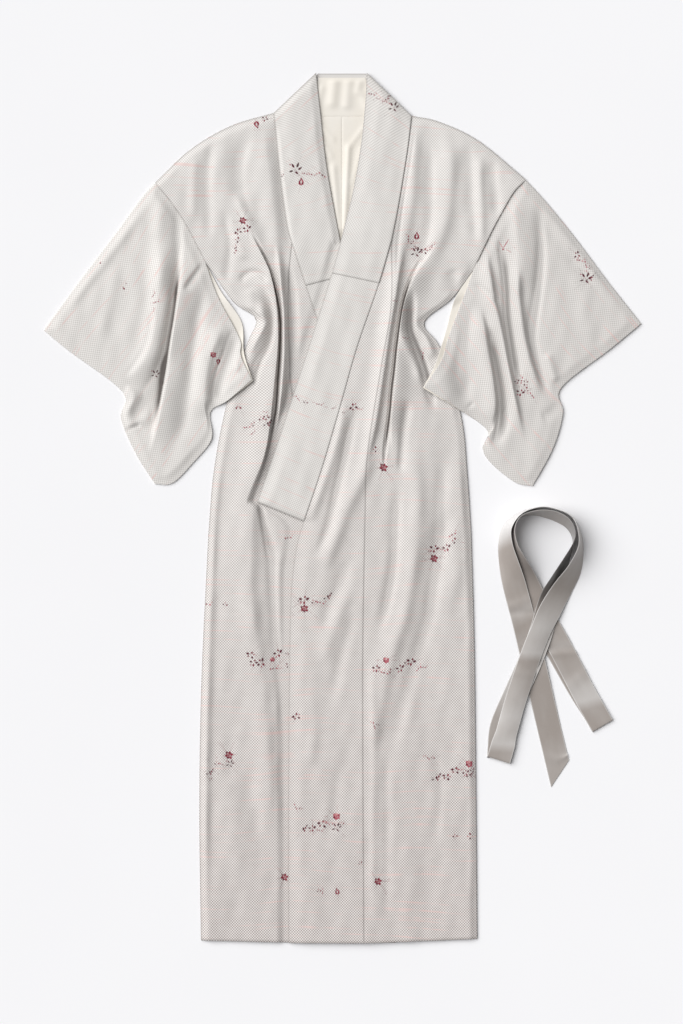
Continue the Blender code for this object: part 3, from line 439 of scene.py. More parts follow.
ROLLED = 0.0015         # how far in from its edge a panel starts to turn down
TURNED = 0.0003         # and how far down it turns
HEM_LINE = 0.0005       # only this much of its edge rounds over
RIM_BULGE = 0.3         # how far the middle of its rim stands out, as a share of its thickness
SIDE_HOLD = 0.010       # a panel near its seams isn't carried sideways
SEAM_LINE = 0.0012      # breadth of the painted shade in the groove of a seam
SEAM_SHADE = 0.38
INK_MARGIN = 0.001      # cells are cut finer this far round a stroke
INK_SEEN = 0.02         # and where it carries more than this share of ink


def hemmed(fields):
    """The same grid of points and what goes with them, with one more line close inside each edge."""
    for axis in (0, 1):
        lines = np.moveaxis(fields, axis, 0)
        near = []
        for rim, inner in ((0, 1), (-1, -2)):
            step = lines[inner] - lines[rim]
            share = HEM_LINE / np.linalg.norm(step[:, :3], axis=1, keepdims=True)
            near.append((lines[rim] + step * np.minimum(share, 0.5))[None])
        lines = np.concatenate([lines[:1], near[0], lines[1:-1], near[1], lines[-1:]])
        fields = np.moveaxis(lines, 0, axis)
    return fields


def cloth_shell(name, outer, inner, weave, finish, sprigs=(), inside=None, tone=None):
    """A thin closed piece between two grids, its rim rounded, with its weave, printed sprigs and tone, its
    painted light and shade.
    """
    if tone is None:
        tone = np.zeros(outer.shape[:2])
    fields = hemmed(np.dstack([outer, inner, weave, tone]))
    outer, inner, weave, tone = np.split(fields, (3, 6, 8), axis=-1)
    rows, columns = outer.shape[:2]
    inked = ink_at(outer[..., 0], outer[..., 1], sprigs, INK_MARGIN)[..., 3] > INK_SEEN
    printed = cells(inked).any(axis=-1)
    printed[[0, -1]] = printed[:, [0, -1]] = False
    field, faces = printed_cells(np.dstack([outer, weave, tone]), printed)
    index = np.arange(rows * columns).reshape(rows, columns)
    rim = np.concatenate([index[:-1, 0], index[-1, :-1], index[:0:-1, -1], index[0, :0:-1]])
    nearer = np.concatenate([index[:-1, 1], index[-2, :-1], index[:0:-1, -2], index[1, :0:-1]])
    flat_outer, flat_inner = outer.reshape(-1, 3), inner.reshape(-1, 3)
    outward = flat_outer[rim] - flat_outer[nearer]
    outward /= np.linalg.norm(outward, axis=1, keepdims=True)
    wall = np.linalg.norm(flat_outer[rim] - flat_inner[rim], axis=1, keepdims=True)
    middle = (flat_outer[rim] + flat_inner[rim]) / 2 + outward * wall * RIM_BULGE
    first_middle = len(field)
    first_inner = first_middle + len(rim)
    below = cells(index).reshape(-1, 4)[:, [0, 3, 2, 1]] + first_inner
    ring = first_middle + np.arange(len(rim))
    after = np.roll(ring, -1)
    faces += np.column_stack([np.roll(rim, -1), rim, ring, after]).tolist()
    faces += np.column_stack([after, ring, first_inner + rim, first_inner + np.roll(rim, -1)]).tolist()
    faces += below.tolist()
    points = np.vstack([field[:, :3], middle, flat_inner])
    cut = np.vstack([field[:, 3:5], weave.reshape(-1, 2)[rim], weave.reshape(-1, 2)])
    tones = np.concatenate([field[:, 5], tone.ravel()[rim], tone.ravel()])

    mesh = bpy.data.meshes.new(name)
    mesh.from_pydata(points.tolist(), [], faces)
    mesh.shade_smooth()
    corners = np.zeros(len(mesh.loops), int)
    mesh.loops.foreach_get("vertex_index", corners)
    mesh.uv_layers.new(name="weave").data.foreach_set("uv", cut[corners].ravel())
    ink = np.zeros((len(points), 4))
    ink[:first_middle] = ink_at(points[:first_middle, 0], points[:first_middle, 1], sprigs)
    mesh.attributes.new("sprig_ink", "FLOAT_COLOR", "POINT").data.foreach_set("color", ink.ravel())
    # The tone attribute carries painted shade, and on the belt painted shine, into the material.
    mesh.attributes.new("tone", "FLOAT", "POINT").data.foreach_set("value", tones)
    mesh.materials.append(finish)
    if inside is not None:
        mesh.materials.append(inside)
        side = np.zeros(len(faces), int)
        side[-len(below):] = 1
        mesh.polygons.foreach_set("material_index", side)
    piece = bpy.data.objects.new(name, mesh)
    bpy.context.scene.collection.objects.link(piece)
    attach(piece, "root")
    return piece


def lay_panel(name, grid, underside, thickness, finish, sprigs=(), drape=None, turned=TURNED, weave=None):
    """A panel of even thickness, turned down at its rim, whose underside follows a height function.

    Where no weave is given, its weft runs straight across the floor.
    """
    weave = grid if weave is None else weave
    grid = inset(grid)
    x, y = grid[..., 0], grid[..., 1]
    edge = from_rim(grid)
    low = underside(x, y)
    high = low + thickness - turned * np.exp(-(edge / ROLLED) ** 2)
    # Painted shade along the seam groove at the rim, and in the creases the drape gives.
    tone = SEAM_SHADE * np.exp(-(edge / SEAM_LINE) ** 2)
    if drape is not None:
        carried, depth = drape(x, y)
        tone = np.maximum(tone, depth)
        x = x + carried * rise(edge, SIDE_HOLD)
    outer, inner = np.dstack([x, y, high]), np.dstack([x, y, low])
    return cloth_shell(name, outer, inner, weave, finish, sprigs, tone=tone)


def floor_height(x, y):
    """Underside of what lies on the floor."""
    return np.zeros(x.shape)


def coarse(grid, step):
    """Every so many rows and columns of a grid, with its last ones kept."""
    rows = np.unique(np.append(np.arange(0, len(grid), step), len(grid) - 1))
    columns = np.unique(np.append(np.arange(0, grid.shape[1], step), grid.shape[1] - 1))
    return grid[np.ix_(rows, columns)]


BODY_LIGHT, BODY_DARK, BODY_DARK_LOW = (0.856, 0.832, 0.804), (0.345, 0.318, 0.300), (0.318, 0.256, 0.244)
# The body's dots turn darker and deeper towards the hem: painted shade for the light falling off there.
body_silk = patterned_silk("patterned silk, body", BODY_LIGHT, BODY_DARK, BODY_DARK_LOW, depth_low=1.0)


def body_side(*stretches):
    """The outline of one side from the shoulder down the armhole and the side seam to the hem."""
    return joined(*map(smooth_path, stretches, (ARM_ROWS, CHEST_ROWS, SKIRT_ROWS)))


all_rows = ARM_ROWS + CHEST_ROWS + SKIRT_ROWS
centre_back = smooth_path(((CENTRE, NECK_LINE), (CENTRE, HEM + 0.001)), all_rows)
right_side = body_side(ARMHOLE_RIGHT, CHEST_SIDE_RIGHT, SKIRT_SIDE_RIGHT)
left_side = body_side(ARMHOLE_LEFT, CHEST_SIDE_LEFT, SKIRT_SIDE_LEFT)
right_top = SHOULDER_RIGHT[1:-1] + ((-0.140, NECK_LINE), (-0.100, NECK_LINE))
left_top = ((0.100, NECK_LINE), (0.140, NECK_LINE - 0.004)) + SHOULDER_LEFT[1:-1]
for name, grid in (
    ("back_right", panel(right_side, centre_back, right_top, columns=BACK_COLUMNS)),
    ("back_left", panel(centre_back, left_side, left_top, columns=BACK_COLUMNS)),
):
    piece = lay_panel(name + "_cloth", coarse(grid, BACK_STEP), floor_height, CLOTH, body_silk)
    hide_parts(name)

# The neck. The collar strip runs on behind the neck with its cream silk face towards the wearer. Below it
# the open neck shows the cream body lining, in two halves joined down the centre, lying in soft folds.
LINING = 0.0012
NECK_ROWS = ARM_ROWS
CREAM_TONE = (0.865, 0.832, 0.785)
WARMER = (0.93, 0.90, 0.84)
LINING_EDGE = ((-0.064, NECK_LINE), (-0.048, 0.676), (-0.034, 0.602), (-0.020, 0.516))


def mirrored(points):
    """The same line on the other side of the centre back."""
    points = np.array(points)
    return np.column_stack([2 * CENTRE - points[:, 0], points[:, 1]])


def cream_silk():
    """Plain smooth lining silk with a faint shine and a hardly visible weave."""
    material, tree, shader, weave = new_cloth("cream lining silk")
    cloudy = uneven(tree, weave, (14, 6), 3.0)
    slubs = uneven(tree, weave, (60, 900))
    warm = tuple(share * value for share, value in zip(WARMER, CREAM_TONE))
    colour = blended(tree, sums(tree, "MULTIPLY_ADD", cloudy, 1.6, -0.4), warm, CREAM_TONE)
    colour = blended(tree, sums(tree, "MULTIPLY", slubs, 0.12), colour, warm)
    rough = sums(tree, "MULTIPLY_ADD", slubs, 0.2, 0.42)
    relief = sums(tree, "ADD", uneven(tree, weave, (1100, 1500), 1.0), slubs)
    feed(tree, shader, colour, rough, relief, 0.2, 0.00015, {"Sheen Weight": 0.1})
    return material


cream = cream_silk()

# A soft roll of the lining along a straight line: its height, the line's two ends and its half breadth.
Roll = namedtuple("Roll", "height x y far_x far_y breadth")
BODY_ROLLS = (
    Roll(0.0030, 0.012, 0.720, 0.004, 0.560, 0.0065), Roll(0.0020, -0.018, 0.680, -0.007, 0.560, 0.0070),
    Roll(0.0011, -0.048, 0.766, -0.018, 0.738, 0.0050), Roll(0.0010, -0.046, 0.740, -0.022, 0.704, 0.0060),
    Roll(0.0012, 0.040, 0.758, 0.018, 0.728, 0.0050), Roll(0.0010, 0.036, 0.716, 0.020, 0.650, 0.0055),
)
NECK_ROLLS = (
    Roll(0.0030, -0.016, 0.852, -0.020, 0.812, 0.0120), Roll(0.0024, 0.012, 0.852, 0.008, 0.806, 0.0110),
    Roll(0.0018, 0.034, 0.850, 0.030, 0.832, 0.0080), Roll(0.0014, 0.040, 0.826, 0.048, 0.800, 0.0080),
    Roll(0.0016, -0.042, 0.838, -0.050, 0.806, 0.0080),
)


def rolls_at(x, y, rolls):
    """Height of a few soft rolls, each along a straight line and dying away past its ends."""
    lift = np.zeros_like(x)
    for roll in rolls:
        start, end = np.array((roll.x, roll.y)), np.array((roll.far_x, roll.far_y))
        step = end - start
        share = ((x - start[0]) * step[0] + (y - start[1]) * step[1]) / (step @ step)
        t = np.clip(share, 0, 1)
        away = np.hypot(x - start[0] - t * step[0], y - start[1] - t * step[1])
        lift += roll.height * np.exp(-(away / roll.breadth) ** 2)
    return lift


# How far from an edge that is held down the lining's rolls are at their full height.
NECK_SEAM_HOLD, NECK_FOOT_HOLD, NECK_TOP_HOLD = 0.012, 0.022, 0.010
NECK_FACE_TOP = 0.860
LINING_TURNED = 0.0004
STRIP_ROWS, STRIP_COLUMNS = 24, 40
FACE_ROWS, FACE_COLUMNS = 36, 60
BODY_LINING_COLUMNS = 30


def body_lining_height(x, y):
    """Underside of the body lining, held down along the neck seam."""
    return CLOTH + SEAM_GAP + rolls_at(x, y, BODY_ROLLS) * rise(NECK_LINE - y, NECK_SEAM_HOLD)


def neck_lining_height(x, y):
    """Underside of the lining behind the neck, held down at its upper edge and along the neck seam."""
    held = rise(NECK_FACE_TOP - y, NECK_TOP_HOLD) * rise(y - NECK_LINE, NECK_FOOT_HOLD)
    return CLOTH + SEAM_GAP + rolls_at(x, y, NECK_ROLLS) * held


strip = smooth_path(((-0.049, 0.8685), (-0.108, NECK_LINE)), STRIP_ROWS)
grid = panel(strip, mirrored(strip), columns=STRIP_COLUMNS)
piece = lay_panel("collar_back_cloth", grid, floor_height, CLOTH, body_silk)
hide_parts("collar_back")

face = smooth_path(((-0.048, NECK_FACE_TOP), (-0.066, NECK_LINE)), FACE_ROWS)
grid = panel(face, mirrored(face), columns=FACE_COLUMNS)
piece = lay_panel("collar_back_lining_cloth", grid, neck_lining_height, LINING, cream)
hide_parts("collar_back_lining")

edge = smooth_path(LINING_EDGE, NECK_ROWS)
centre = smooth_path(((CENTRE, NECK_LINE), (CENTRE, LINING_EDGE[-1][1])), NECK_ROWS)
for name, grid in (
    ("lining_right", panel(edge, centre, columns=BODY_LINING_COLUMNS)),
    ("lining_left", panel(centre, mirrored(edge), columns=BODY_LINING_COLUMNS)),
):
    piece = lay_panel(name + "_cloth", grid, body_lining_height, LINING, cream, turned=LINING_TURNED)
    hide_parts(name)

# The wearer's right front, which lies beneath: the front panel, the narrow overlap panel sewn to it, and
# the collar strip with the short second collar wrapped round its upper part. All are of the same lined
# silk, sewn edge to edge, and the loose cloth lies in long folds.
LAP_AIR = 0.0007
LOFT = 0.0040           # air under a loosely lying panel
LOFT_FLOOR = 0.0015     # how softly its valleys come down on what it lies on
COLLAR_CLOTH = 0.0030
OVER_CLOTH = 0.0012
CROSSING = 0.530
UNDER_ARM = 0.500
SIDE_TAPER = 0.030
SIDE_ROLL = 0.016
SHOULDER_TAPER = 0.018
LAP_TAPER = 0.016
LINING_RIM = 0.125
LINING_FOOT = 0.460
OVER_ROWS = 20
FRONT_RIGHT_COLUMNS, HIDDEN_OKUMI_COLUMNS, COLLAR_COLUMNS = 100, 36, 36
HIDDEN_STEP = 2         # the hidden overlap keeps every second row and column

NECK_SEAM_RIGHT = ((-0.137, 0.790), (-0.125, 0.670), (-0.111, 0.568), (-0.101, 0.530))
CHEST_SEAM_LEFT = (
    (0.098, 0.536), (0.071, 0.444), (0.029, 0.322),
    (-0.003, 0.210), (-0.040, 0.084), (-0.077, -0.026),
)
OKUMI_EDGE_LEFT = (
    (-0.077, -0.026), (-0.093, -0.084), (-0.104, -0.200), (-0.108, -0.500), (-0.108, -0.8690),
)
OKUMI_CHEST_RIGHT = (
    (-0.101, 0.530), (-0.108, 0.450), (-0.107, 0.330), (-0.098, 0.210), (-0.058, 0.090), (-0.047, -0.026),
)
OKUMI_SKIRT_LEFT = ((0.045, -0.026), (0.041, -0.266), (0.041, -0.504), (0.043, -0.8697))
NECK_EDGE_RIGHT = ((-0.053, COLLAR_TOP), (-0.045, 0.796), (-0.031, 0.676), (-0.004, 0.530))
NECK_EDGE_LEFT = ((0.049, COLLAR_TOP), (0.046, 0.810), (0.037, 0.724), (0.021, 0.632), (-0.004, 0.530))
CHEST_EDGE_LEFT = (
    (-0.004, 0.530), (-0.021, 0.469), (-0.055, 0.360), (-0.097, 0.230), (-0.131, 0.126), (-0.170, 0.012),
)
PRESSED_BELOW_COLLAR = (
    (-0.170, 0.012), (-0.126, -0.010), (-0.096, -0.034), (-0.101, -0.090), (-0.108, -0.200), (-0.108, HEM),
)

# A crest, or where its height is negative a valley, with its half breadth on the wearer's right side and on
# the left side of its path, which is drawn downwards. Hang carries the crest over towards the wearer's
# left. All in millimetres.
Fold = namedtuple("Fold", "height right left path hang", defaults=[0])
FOLDS_RIGHT = (
    Fold(3.5, 24, 18, (
        (-233, 752), (-239, 716), (-241, 676), (-233, 636), (-213, 596), (-193, 556), (-173, 512),
        (-157, 480),
    )),
    Fold(12, 28, 6, (
        (-205, 580), (-187, 544), (-172, 512), (-157, 476), (-147, 436), (-141, 396), (-139, 356),
        (-140, 316), (-144, 276), (-148, 236), (-152, 196), (-157, 156), (-163, 116), (-171, 76),
        (-178, 44), (-185, 12),
    ), hang=10),
    Fold(5, 22, 12, (
        (-161, 772), (-155, 720), (-149, 676), (-144, 636), (-139, 596), (-134, 556), (-131, 512),
        (-127, 472),
    )),
    Fold(15, 4, 8, (
        (-133, 536), (-126, 476), (-122, 436), (-118, 396), (-117, 356), (-117, 316), (-119, 276),
        (-122, 236), (-125, 192), (-131, 136),
    )),
    Fold(-3.5, 16, 10, (
        (-181, 752), (-193, 724), (-203, 692), (-204, 652), (-198, 620), (-187, 592), (-177, 568),
    )),
    Fold(6, 10, 19, ((-215, 636), (-203, 608), (-191, 580), (-178, 552), (-165, 520), (-153, 488))),
    Fold(-22, 3, 3, (
        (-183, 556), (-170, 530), (-157, 502), (-145, 472), (-136, 440), (-128, 406), (-124, 366),
        (-125, 326), (-127, 286), (-130, 246), (-132, 206), (-138, 166), (-145, 126), (-153, 94),
        (-160, 62), (-166, 30), (-169, 4),
    )),
    Fold(-10, 4, 7, (
        (-109, 492), (-103, 452), (-99, 396), (-98, 356), (-99, 316), (-100, 276), (-103, 236),
        (-109, 204),
    )),
    Fold(-5, 9, 3, (
        (-135, 784), (-129, 726), (-123, 670), (-117, 616), (-110, 568), (-103, 530), (-97, 500),
    )),
    Fold(-4, 11, 9, ((-259, 744), (-265, 706), (-268, 672), (-269, 636), (-268, 586), (-267, 526))),
    Fold(3, 10, 10, ((-291, 716), (-297, 666), (-299, 616), (-297, 566))),
    Fold(-3, 9, 7, ((-237, 600), (-229, 556), (-225, 516), (-229, 476), (-233, 440))),
    Fold(3, 10, 12, ((-213, 552), (-205, 520), (-203, 492))),
    Fold(-4.5, 5, 5, ((-205, 448), (-197, 464), (-183, 472), (-169, 466), (-159, 448))),
    Fold(3, 10, 8, ((-187, 440), (-183, 416), (-181, 392))),
    Fold(-13, 9, 4, (
        (-173, 452), (-163, 430), (-153, 400), (-150, 376), (-151, 348), (-157, 320), (-169, 292),
        (-177, 264), (-181, 232),
    )),
    Fold(6, 8, 8, ((-169, 416), (-165, 384), (-167, 356), (-179, 328), (-189, 304))),
    Fold(3, 8, 11, (
        (-229, 176), (-237, 136), (-247, 76), (-257, 16), (-263, -44), (-268, -144), (-271, -264),
        (-273, -384), (-274, -504), (-275, -684), (-275, -834),
    )),
    Fold(-2, 9, 14, (
        (-213, 186), (-219, 136), (-231, 76), (-241, 26), (-247, -44), (-249, -144), (-251, -264),
        (-257, -384), (-259, -504), (-261, -684), (-261, -834),
    )),
    Fold(8, 34, 16, (
        (-149, 160), (-163, 116), (-171, 66), (-179, 6), (-185, -84), (-185, -164), (-179, -234),
        (-171, -284),
    )),
    Fold(5, 26, 16, (
        (-185, -154), (-177, -244), (-165, -324), (-157, -404), (-151, -484), (-147, -584),
        (-145, -664),
    )),
    Fold(-9, 5, 6, ((-159, 76), (-165, 44), (-165, 12), (-159, -24), (-151, -64), (-145, -108))),
    Fold(-5.5, 11, 9, (
        (-161, 16), (-149, -34), (-141, -84), (-139, -164), (-133, -254), (-123, -334), (-115, -414),
        (-109, -494),
    )),
    Fold(-2, 14, 12, ((-229, -454), (-223, -504), (-229, -554))),
    Fold(-2, 16, 14, ((-197, -504), (-181, -564), (-171, -644), (-173, -744))),
    Fold(2, 16, 16, ((-221, -564), (-213, -644), (-209, -744))),
)


DEEP_CREASE = 0.019     # a valley this deep is in full painted shade
CREASE_EDGE = 2.4       # above 1, the painted shade sets in late and sharply
FOLD_ENDS = 0.22        # share of its length over which a fold grows at one end and dies away at the other
FOLD_STEPS = 20         # straight steps in which its path is followed
FOLD_REACH = 2.6        # half breadths from its path beyond which it isn't felt


CLOSER = 3              # columns lie up to four times as close at a deep fold
CLOSER_REACH = 0.020    # to either side of it
CLOSER_ENDS = 0.080     # and past its ends
CLOSER_SAMPLES = 4      # places tried for each column


def closer_columns(left, right, fold, columns):
    """Places of each row's columns, from 0 to 1, drawn close where the line of a deep fold crosses it."""
    path = np.array(fold.path) / MM
    y = (left[:, 1] + right[:, 1]) / 2
    breadth = right[:, 0] - left[:, 0]
    middle = (np.interp(-y, -path[:, 1], path[:, 0]) - left[:, 0]) / breadth
    beyond = np.maximum(y - path[0, 1], path[-1, 1] - y)
    pull = CLOSER * (1 - rise(beyond, CLOSER_ENDS))
    at = np.linspace(0, 1, CLOSER_SAMPLES * columns + 1)
    away = (at - middle[:, None]) * breadth[:, None] / CLOSER_REACH
    crowd = 1 + pull[:, None] * np.exp(-(away ** 2))
    sum_up = np.cumsum(crowd, axis=1) - crowd[:, :1]
    shares = np.linspace(0, 1, columns + 1)
    return np.array([np.interp(shares * total[-1], total, at) for total in sum_up])


def nearest_on(x, y, fold):
    """Square of the distance from a fold's path, its side and the share of it, at the points near it."""
    path = smooth_path(np.array(fold.path) / MM, FOLD_STEPS)
    reach = FOLD_REACH * max(fold.right, fold.left) / MM
    near = (
        (x > path[:, 0].min() - reach) & (x < path[:, 0].max() + reach)
        & (y > path[:, 1].min() - reach) & (y < path[:, 1].max() + reach)
    )
    px, py = x[near], y[near]
    best = np.full(px.shape, np.inf)
    side = np.zeros_like(px)
    share = np.zeros_like(px)
    for number, (a, b) in enumerate(zip(path, path[1:])):
        step = b - a
        t = np.clip(((px - a[0]) * step[0] + (py - a[1]) * step[1]) / (step @ step), 0, 1)
        dx = px - a[0] - t * step[0]
        dy = py - a[1] - t * step[1]
        square = dx * dx + dy * dy
        closer = square < best
        best = np.where(closer, square, best)
        side = np.where(closer, np.sign(step[0] * dy - step[1] * dx), side)
        share = np.where(closer, (number + t) / (len(path) - 1), share)
    return near, best, side, share


def folds_at(x, y, folds):
    """Height, sideways shift and painted shade by crease depth that a set of folds gives at floor points.
    """
    height, shift, depth = np.zeros_like(x), np.zeros_like(x), np.zeros_like(x)
    for fold in folds:
        near, best, side, share = nearest_on(x, y, fold)
        if near.any():
            width = np.where(side > 0, fold.left, fold.right) / MM
            fade = rise(share, FOLD_ENDS) * rise(1 - share, FOLD_ENDS)
            shape = fade * np.exp(-best / width**2)
            height[near] += fold.height / MM * shape
            shift[near] += fold.hang / MM * shape
            depth[near] += max(-fold.height, 0) / MM * shape
    return height, shift, np.clip(depth / DEEP_CREASE, 0, 1) ** CREASE_EDGE


# Slight unevenness of silk that has been folded away and laid out again: low waves, each with its height in
# metres, its turns to the metre across and along in radians, and where it starts.
Wave = namedtuple("Wave", "height across along start")
RIPPLES = (
    Wave(0.00042, 61, 17, 0.4), Wave(0.00036, -38, 29, 1.9), Wave(0.00030, 97, -13, 3.1),
    Wave(0.00022, 143, 41, 5.0), Wave(0.00018, -121, 67, 0.9), Wave(0.00014, 211, -52, 2.2),
)


def relief(x, y, folds):
    """Height of a loosely lying panel above what it rests on, never below 0."""
    ripple = sum(wave.height * np.sin(x * wave.across + y * wave.along + wave.start) for wave in RIPPLES)
    height = LOFT + folds_at(x, y, folds)[0] + ripple
    return 0.5 * (height + np.sqrt(height**2 + LOFT_FLOOR**2))


EDGE_STEPS = 60         # steps in which an outline is followed


def side_limit(y, *stretches):
    """X of an outline at the given heights."""
    line = np.vstack([smooth_path(stretch, EDGE_STEPS) for stretch in stretches])
    order = np.argsort(line[:, 1])
    return np.interp(y, line[order, 1], line[order, 0])


def top_limit(x):
    """Y of the shoulders and the collar's upper edge."""
    line = np.vstack([
        smooth_path(SHOULDER_RIGHT, EDGE_STEPS // 2), NECK_EDGE_RIGHT[:1], NECK_EDGE_LEFT[:1],
        smooth_path(SHOULDER_LEFT, EDGE_STEPS // 2),
    ])
    return np.interp(x, line[:, 0], line[:, 1])


def pressed_edge(y):
    """X left of which the right front is free of the weight of the left one."""
    return side_limit(y, CHEST_EDGE_LEFT, PRESSED_BELOW_COLLAR) - LAP_TAPER / 2


def seam_hold(x, y):
    """1 in the open panel, 0 at the side seams and the shoulder, where front and back are held together."""
    right = side_limit(y, CHEST_SIDE_RIGHT, SKIRT_SIDE_RIGHT)
    left = side_limit(y, CHEST_SIDE_LEFT, SKIRT_SIDE_LEFT)
    below_arm = rise(UNDER_ARM - y, SIDE_TAPER)
    free = rise(x - right, SIDE_ROLL) * rise(left - x, SIDE_ROLL)
    return (1 - below_arm * (1 - free)) * rise(top_limit(x) - y, SHOULDER_TAPER)


def back_stack(x, y):
    """Underside of the first layer that lies on the back, raised a little over the neck lining."""
    across = rise(x + LINING_RIM, SIDE_TAPER) * rise(LINING_RIM - x, SIDE_TAPER)
    over_lining = across * rise(y - LINING_FOOT, SIDE_TAPER)
    return CLOTH + SEAM_GAP + (LINING + SEAM_GAP) * over_lining


def right_free(x, y):
    """1 where nothing lies on the right front, 0 at its edge in the neck and under the left one."""
    limit = np.where(y > CROSSING, side_limit(y, NECK_EDGE_RIGHT), pressed_edge(y))
    return rise(limit - x, LAP_TAPER)


def right_height(x, y):
    """Underside of the wearer's right front."""
    return back_stack(x, y) + relief(x, y, FOLDS_RIGHT) * seam_hold(x, y) * right_free(x, y)


def front_drape(x, y, folds, free):
    """How far its folds carry a front sideways, and the painted shade in their creases."""
    _, carried, depth = folds_at(x, y, folds)
    free = seam_hold(x, y) * free
    return carried * free, depth * free


def right_drape(x, y):
    """The drape of the right front."""
    return front_drape(x, y, FOLDS_RIGHT, right_free(x, y))


def collar_edge(neck, chest):
    """A collar's free edge, with a row where the second collar ends."""
    return joined(
        smooth_path(neck, NECK_ROWS), smooth_path(chest[:2], OVER_ROWS),
        smooth_path(chest[1:], CHEST_ROWS - OVER_ROWS),
    )


def above(underside, thickness):
    """Height function of what lies on a piece of that thickness."""
    return lambda x, y: underside(x, y) + thickness + SEAM_GAP


def along_strip(grid):
    """Weave of a strip that is cut lengthways, with its weft across it."""
    steps = np.linalg.norm(np.diff(grid, axis=1), axis=-1)
    across = np.cumsum(np.column_stack([np.zeros(len(grid)), steps]), axis=1)
    middle = grid[:, grid.shape[1] // 2]
    along = np.concatenate([[0], np.cumsum(np.linalg.norm(np.diff(middle, axis=0), axis=1))])
    return np.dstack([across, np.repeat(-along[:, None], grid.shape[1], axis=1)])


SPRIGS_FRONT_RIGHT = (
    Sprig("rosebud", -171, 766, 200, 1.45), Sprig("leaves", -154, 777, -10, 1.01),
    Sprig("bloom", -199, 574, 0, 1.45), Sprig("leaves", -189, 558, 20, 1.3),
    Sprig("leaves", -210, 552, 200, 1.16), Sprig("specks", -208, 535, 90, 1.45),
    Sprig("twig", -214, 516, 60, 0.87), Sprig("dot", -212, 199, 0, 1.3),
    Sprig("dot", -203, 200, 90, 1.3), Sprig("specks", -162, 177, 30, 1.3),
    Sprig("leaves", -151, 180, 0, 1.01), Sprig("berries", -149, 169, 0, 1.3),
    Sprig("specks", -177, 167, 80, 1.16), Sprig("petals", -189, 162, 20, 1.16),
    Sprig("petals", -178, 151, 50, 0.87), Sprig("petals", -154, 192, 0, 0.72),
    Sprig("petals", -107, -59, 20, 1.16), Sprig("petals", -269, -192, 10, 1.3),
    Sprig("specks", -235, -194, 0, 1.3), Sprig("leaves", -185, -292, 150, 1.3),
    Sprig("leaves", -176, -310, 0, 1.3), Sprig("leaves", -161, -308, 60, 1.45),
    Sprig("faded", -140, -303, 40, 1.09), Sprig("petals", -136, -320, 20, 1.3),
    Sprig("leaves", -127, -290, 30, 1.45), Sprig("specks", -111, -292, 0, 0.87),
    Sprig("specks", -110, -315, 110, 1.16), Sprig("bloom", -227, -494, 0, 1.67),
    Sprig("fan", -224, -511, 0, 1.09), Sprig("specks", -251, -512, 20, 1.3),
    Sprig("petals", -242, -512, 160, 0.72), Sprig("berries", -265, -528, 0, 1.16),
    Sprig("specks", -263, -543, 60, 0.87), Sprig("bloom", -116, -738, 0, 1.52),
)
SPRIGS_COLLAR_RIGHT = (
    Sprig("fan", -93, 677, 0, 1.74), Sprig("rosebud", -83, 652, 0, 1.45),
    Sprig("petals", -74, 668, 0, 1.01), Sprig("petals", -59, 666, 0, 1.16),
    Sprig("petals", -43, 666, 160, 1.3), Sprig("specks", -119, 664, 60, 0.87),
)
COLLAR_LIGHT, COLLAR_DARK = (0.827, 0.80, 0.77), (0.414, 0.395, 0.375)
collar_silk = patterned_silk("patterned silk, collar", COLLAR_LIGHT, COLLAR_DARK, COLLAR_DARK)

neck_seam = smooth_path(NECK_SEAM_RIGHT, NECK_ROWS)
okumi_seam = joined(
    smooth_path(OKUMI_CHEST_RIGHT, CHEST_ROWS),
    smooth_path(np.vstack([OKUMI_CHEST_RIGHT[-1:], mirrored(OKUMI_SKIRT_LEFT[1:])]), SKIRT_ROWS),
)
deepest = min(FOLDS_RIGHT, key=lambda fold: fold.height)
inner_edge = joined(neck_seam, okumi_seam)
grid = panel(right_side, inner_edge, SHOULDER_RIGHT[1:-1], columns=FRONT_RIGHT_COLUMNS, fold=deepest)
piece = lay_panel(
    "front_right_cloth", grid, right_height, CLOTH, body_silk, SPRIGS_FRONT_RIGHT, right_drape,
)
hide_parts("front_right")

crossing = NECK_SEAM_RIGHT[-1:]
chest_seam = smooth_path(np.vstack([crossing, mirrored(CHEST_SEAM_LEFT[1:])]), CHEST_ROWS)
hidden_edge = joined(chest_seam, smooth_path(mirrored(OKUMI_EDGE_LEFT), SKIRT_ROWS))
grid = coarse(panel(okumi_seam[1:], hidden_edge[1:], columns=HIDDEN_OKUMI_COLUMNS), HIDDEN_STEP)
piece = lay_panel("okumi_right_cloth", grid, right_height, CLOTH, body_silk)
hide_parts("okumi_right")

hidden_collar = np.vstack([NECK_EDGE_RIGHT[-1:], mirrored(CHEST_EDGE_LEFT[1:])])
outer_edge = collar_edge(NECK_EDGE_RIGHT, hidden_collar)
collar = panel(joined(neck_seam, chest_seam), outer_edge, columns=COLLAR_COLUMNS)
second = NECK_ROWS + OVER_ROWS + 1      # rows of the collar that the second one covers
on_collar = above(right_height, COLLAR_CLOTH)
for name, rows, underside, thick, length, area, sprigs in (
    ("collar_right", None, right_height, COLLAR_CLOTH, 0.94, 0.085, ()),
    ("over_collar_right", second, on_collar, OVER_CLOTH, 0.44, 0.0365, SPRIGS_COLLAR_RIGHT),
):
    run = along_strip(collar)[:rows]
    piece = lay_panel(name + "_cloth", collar[:rows], underside, thick, collar_silk, sprigs, weave=run)
    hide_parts(name)

# The wearer's left front, which laps over the right one: front panel, overlap panel and collar strip, of
# the same silk and sewn in the same way. Its second collar ends a little below the crossing, and its free
# edge shows from the collar's end to the hem.
FRONT_LEFT_COLUMNS, OKUMI_COLUMNS = 94, 56
LAP_END = 0.045
LAP_LOFT = 0.15         # share of its loft that the left front keeps at its free edge

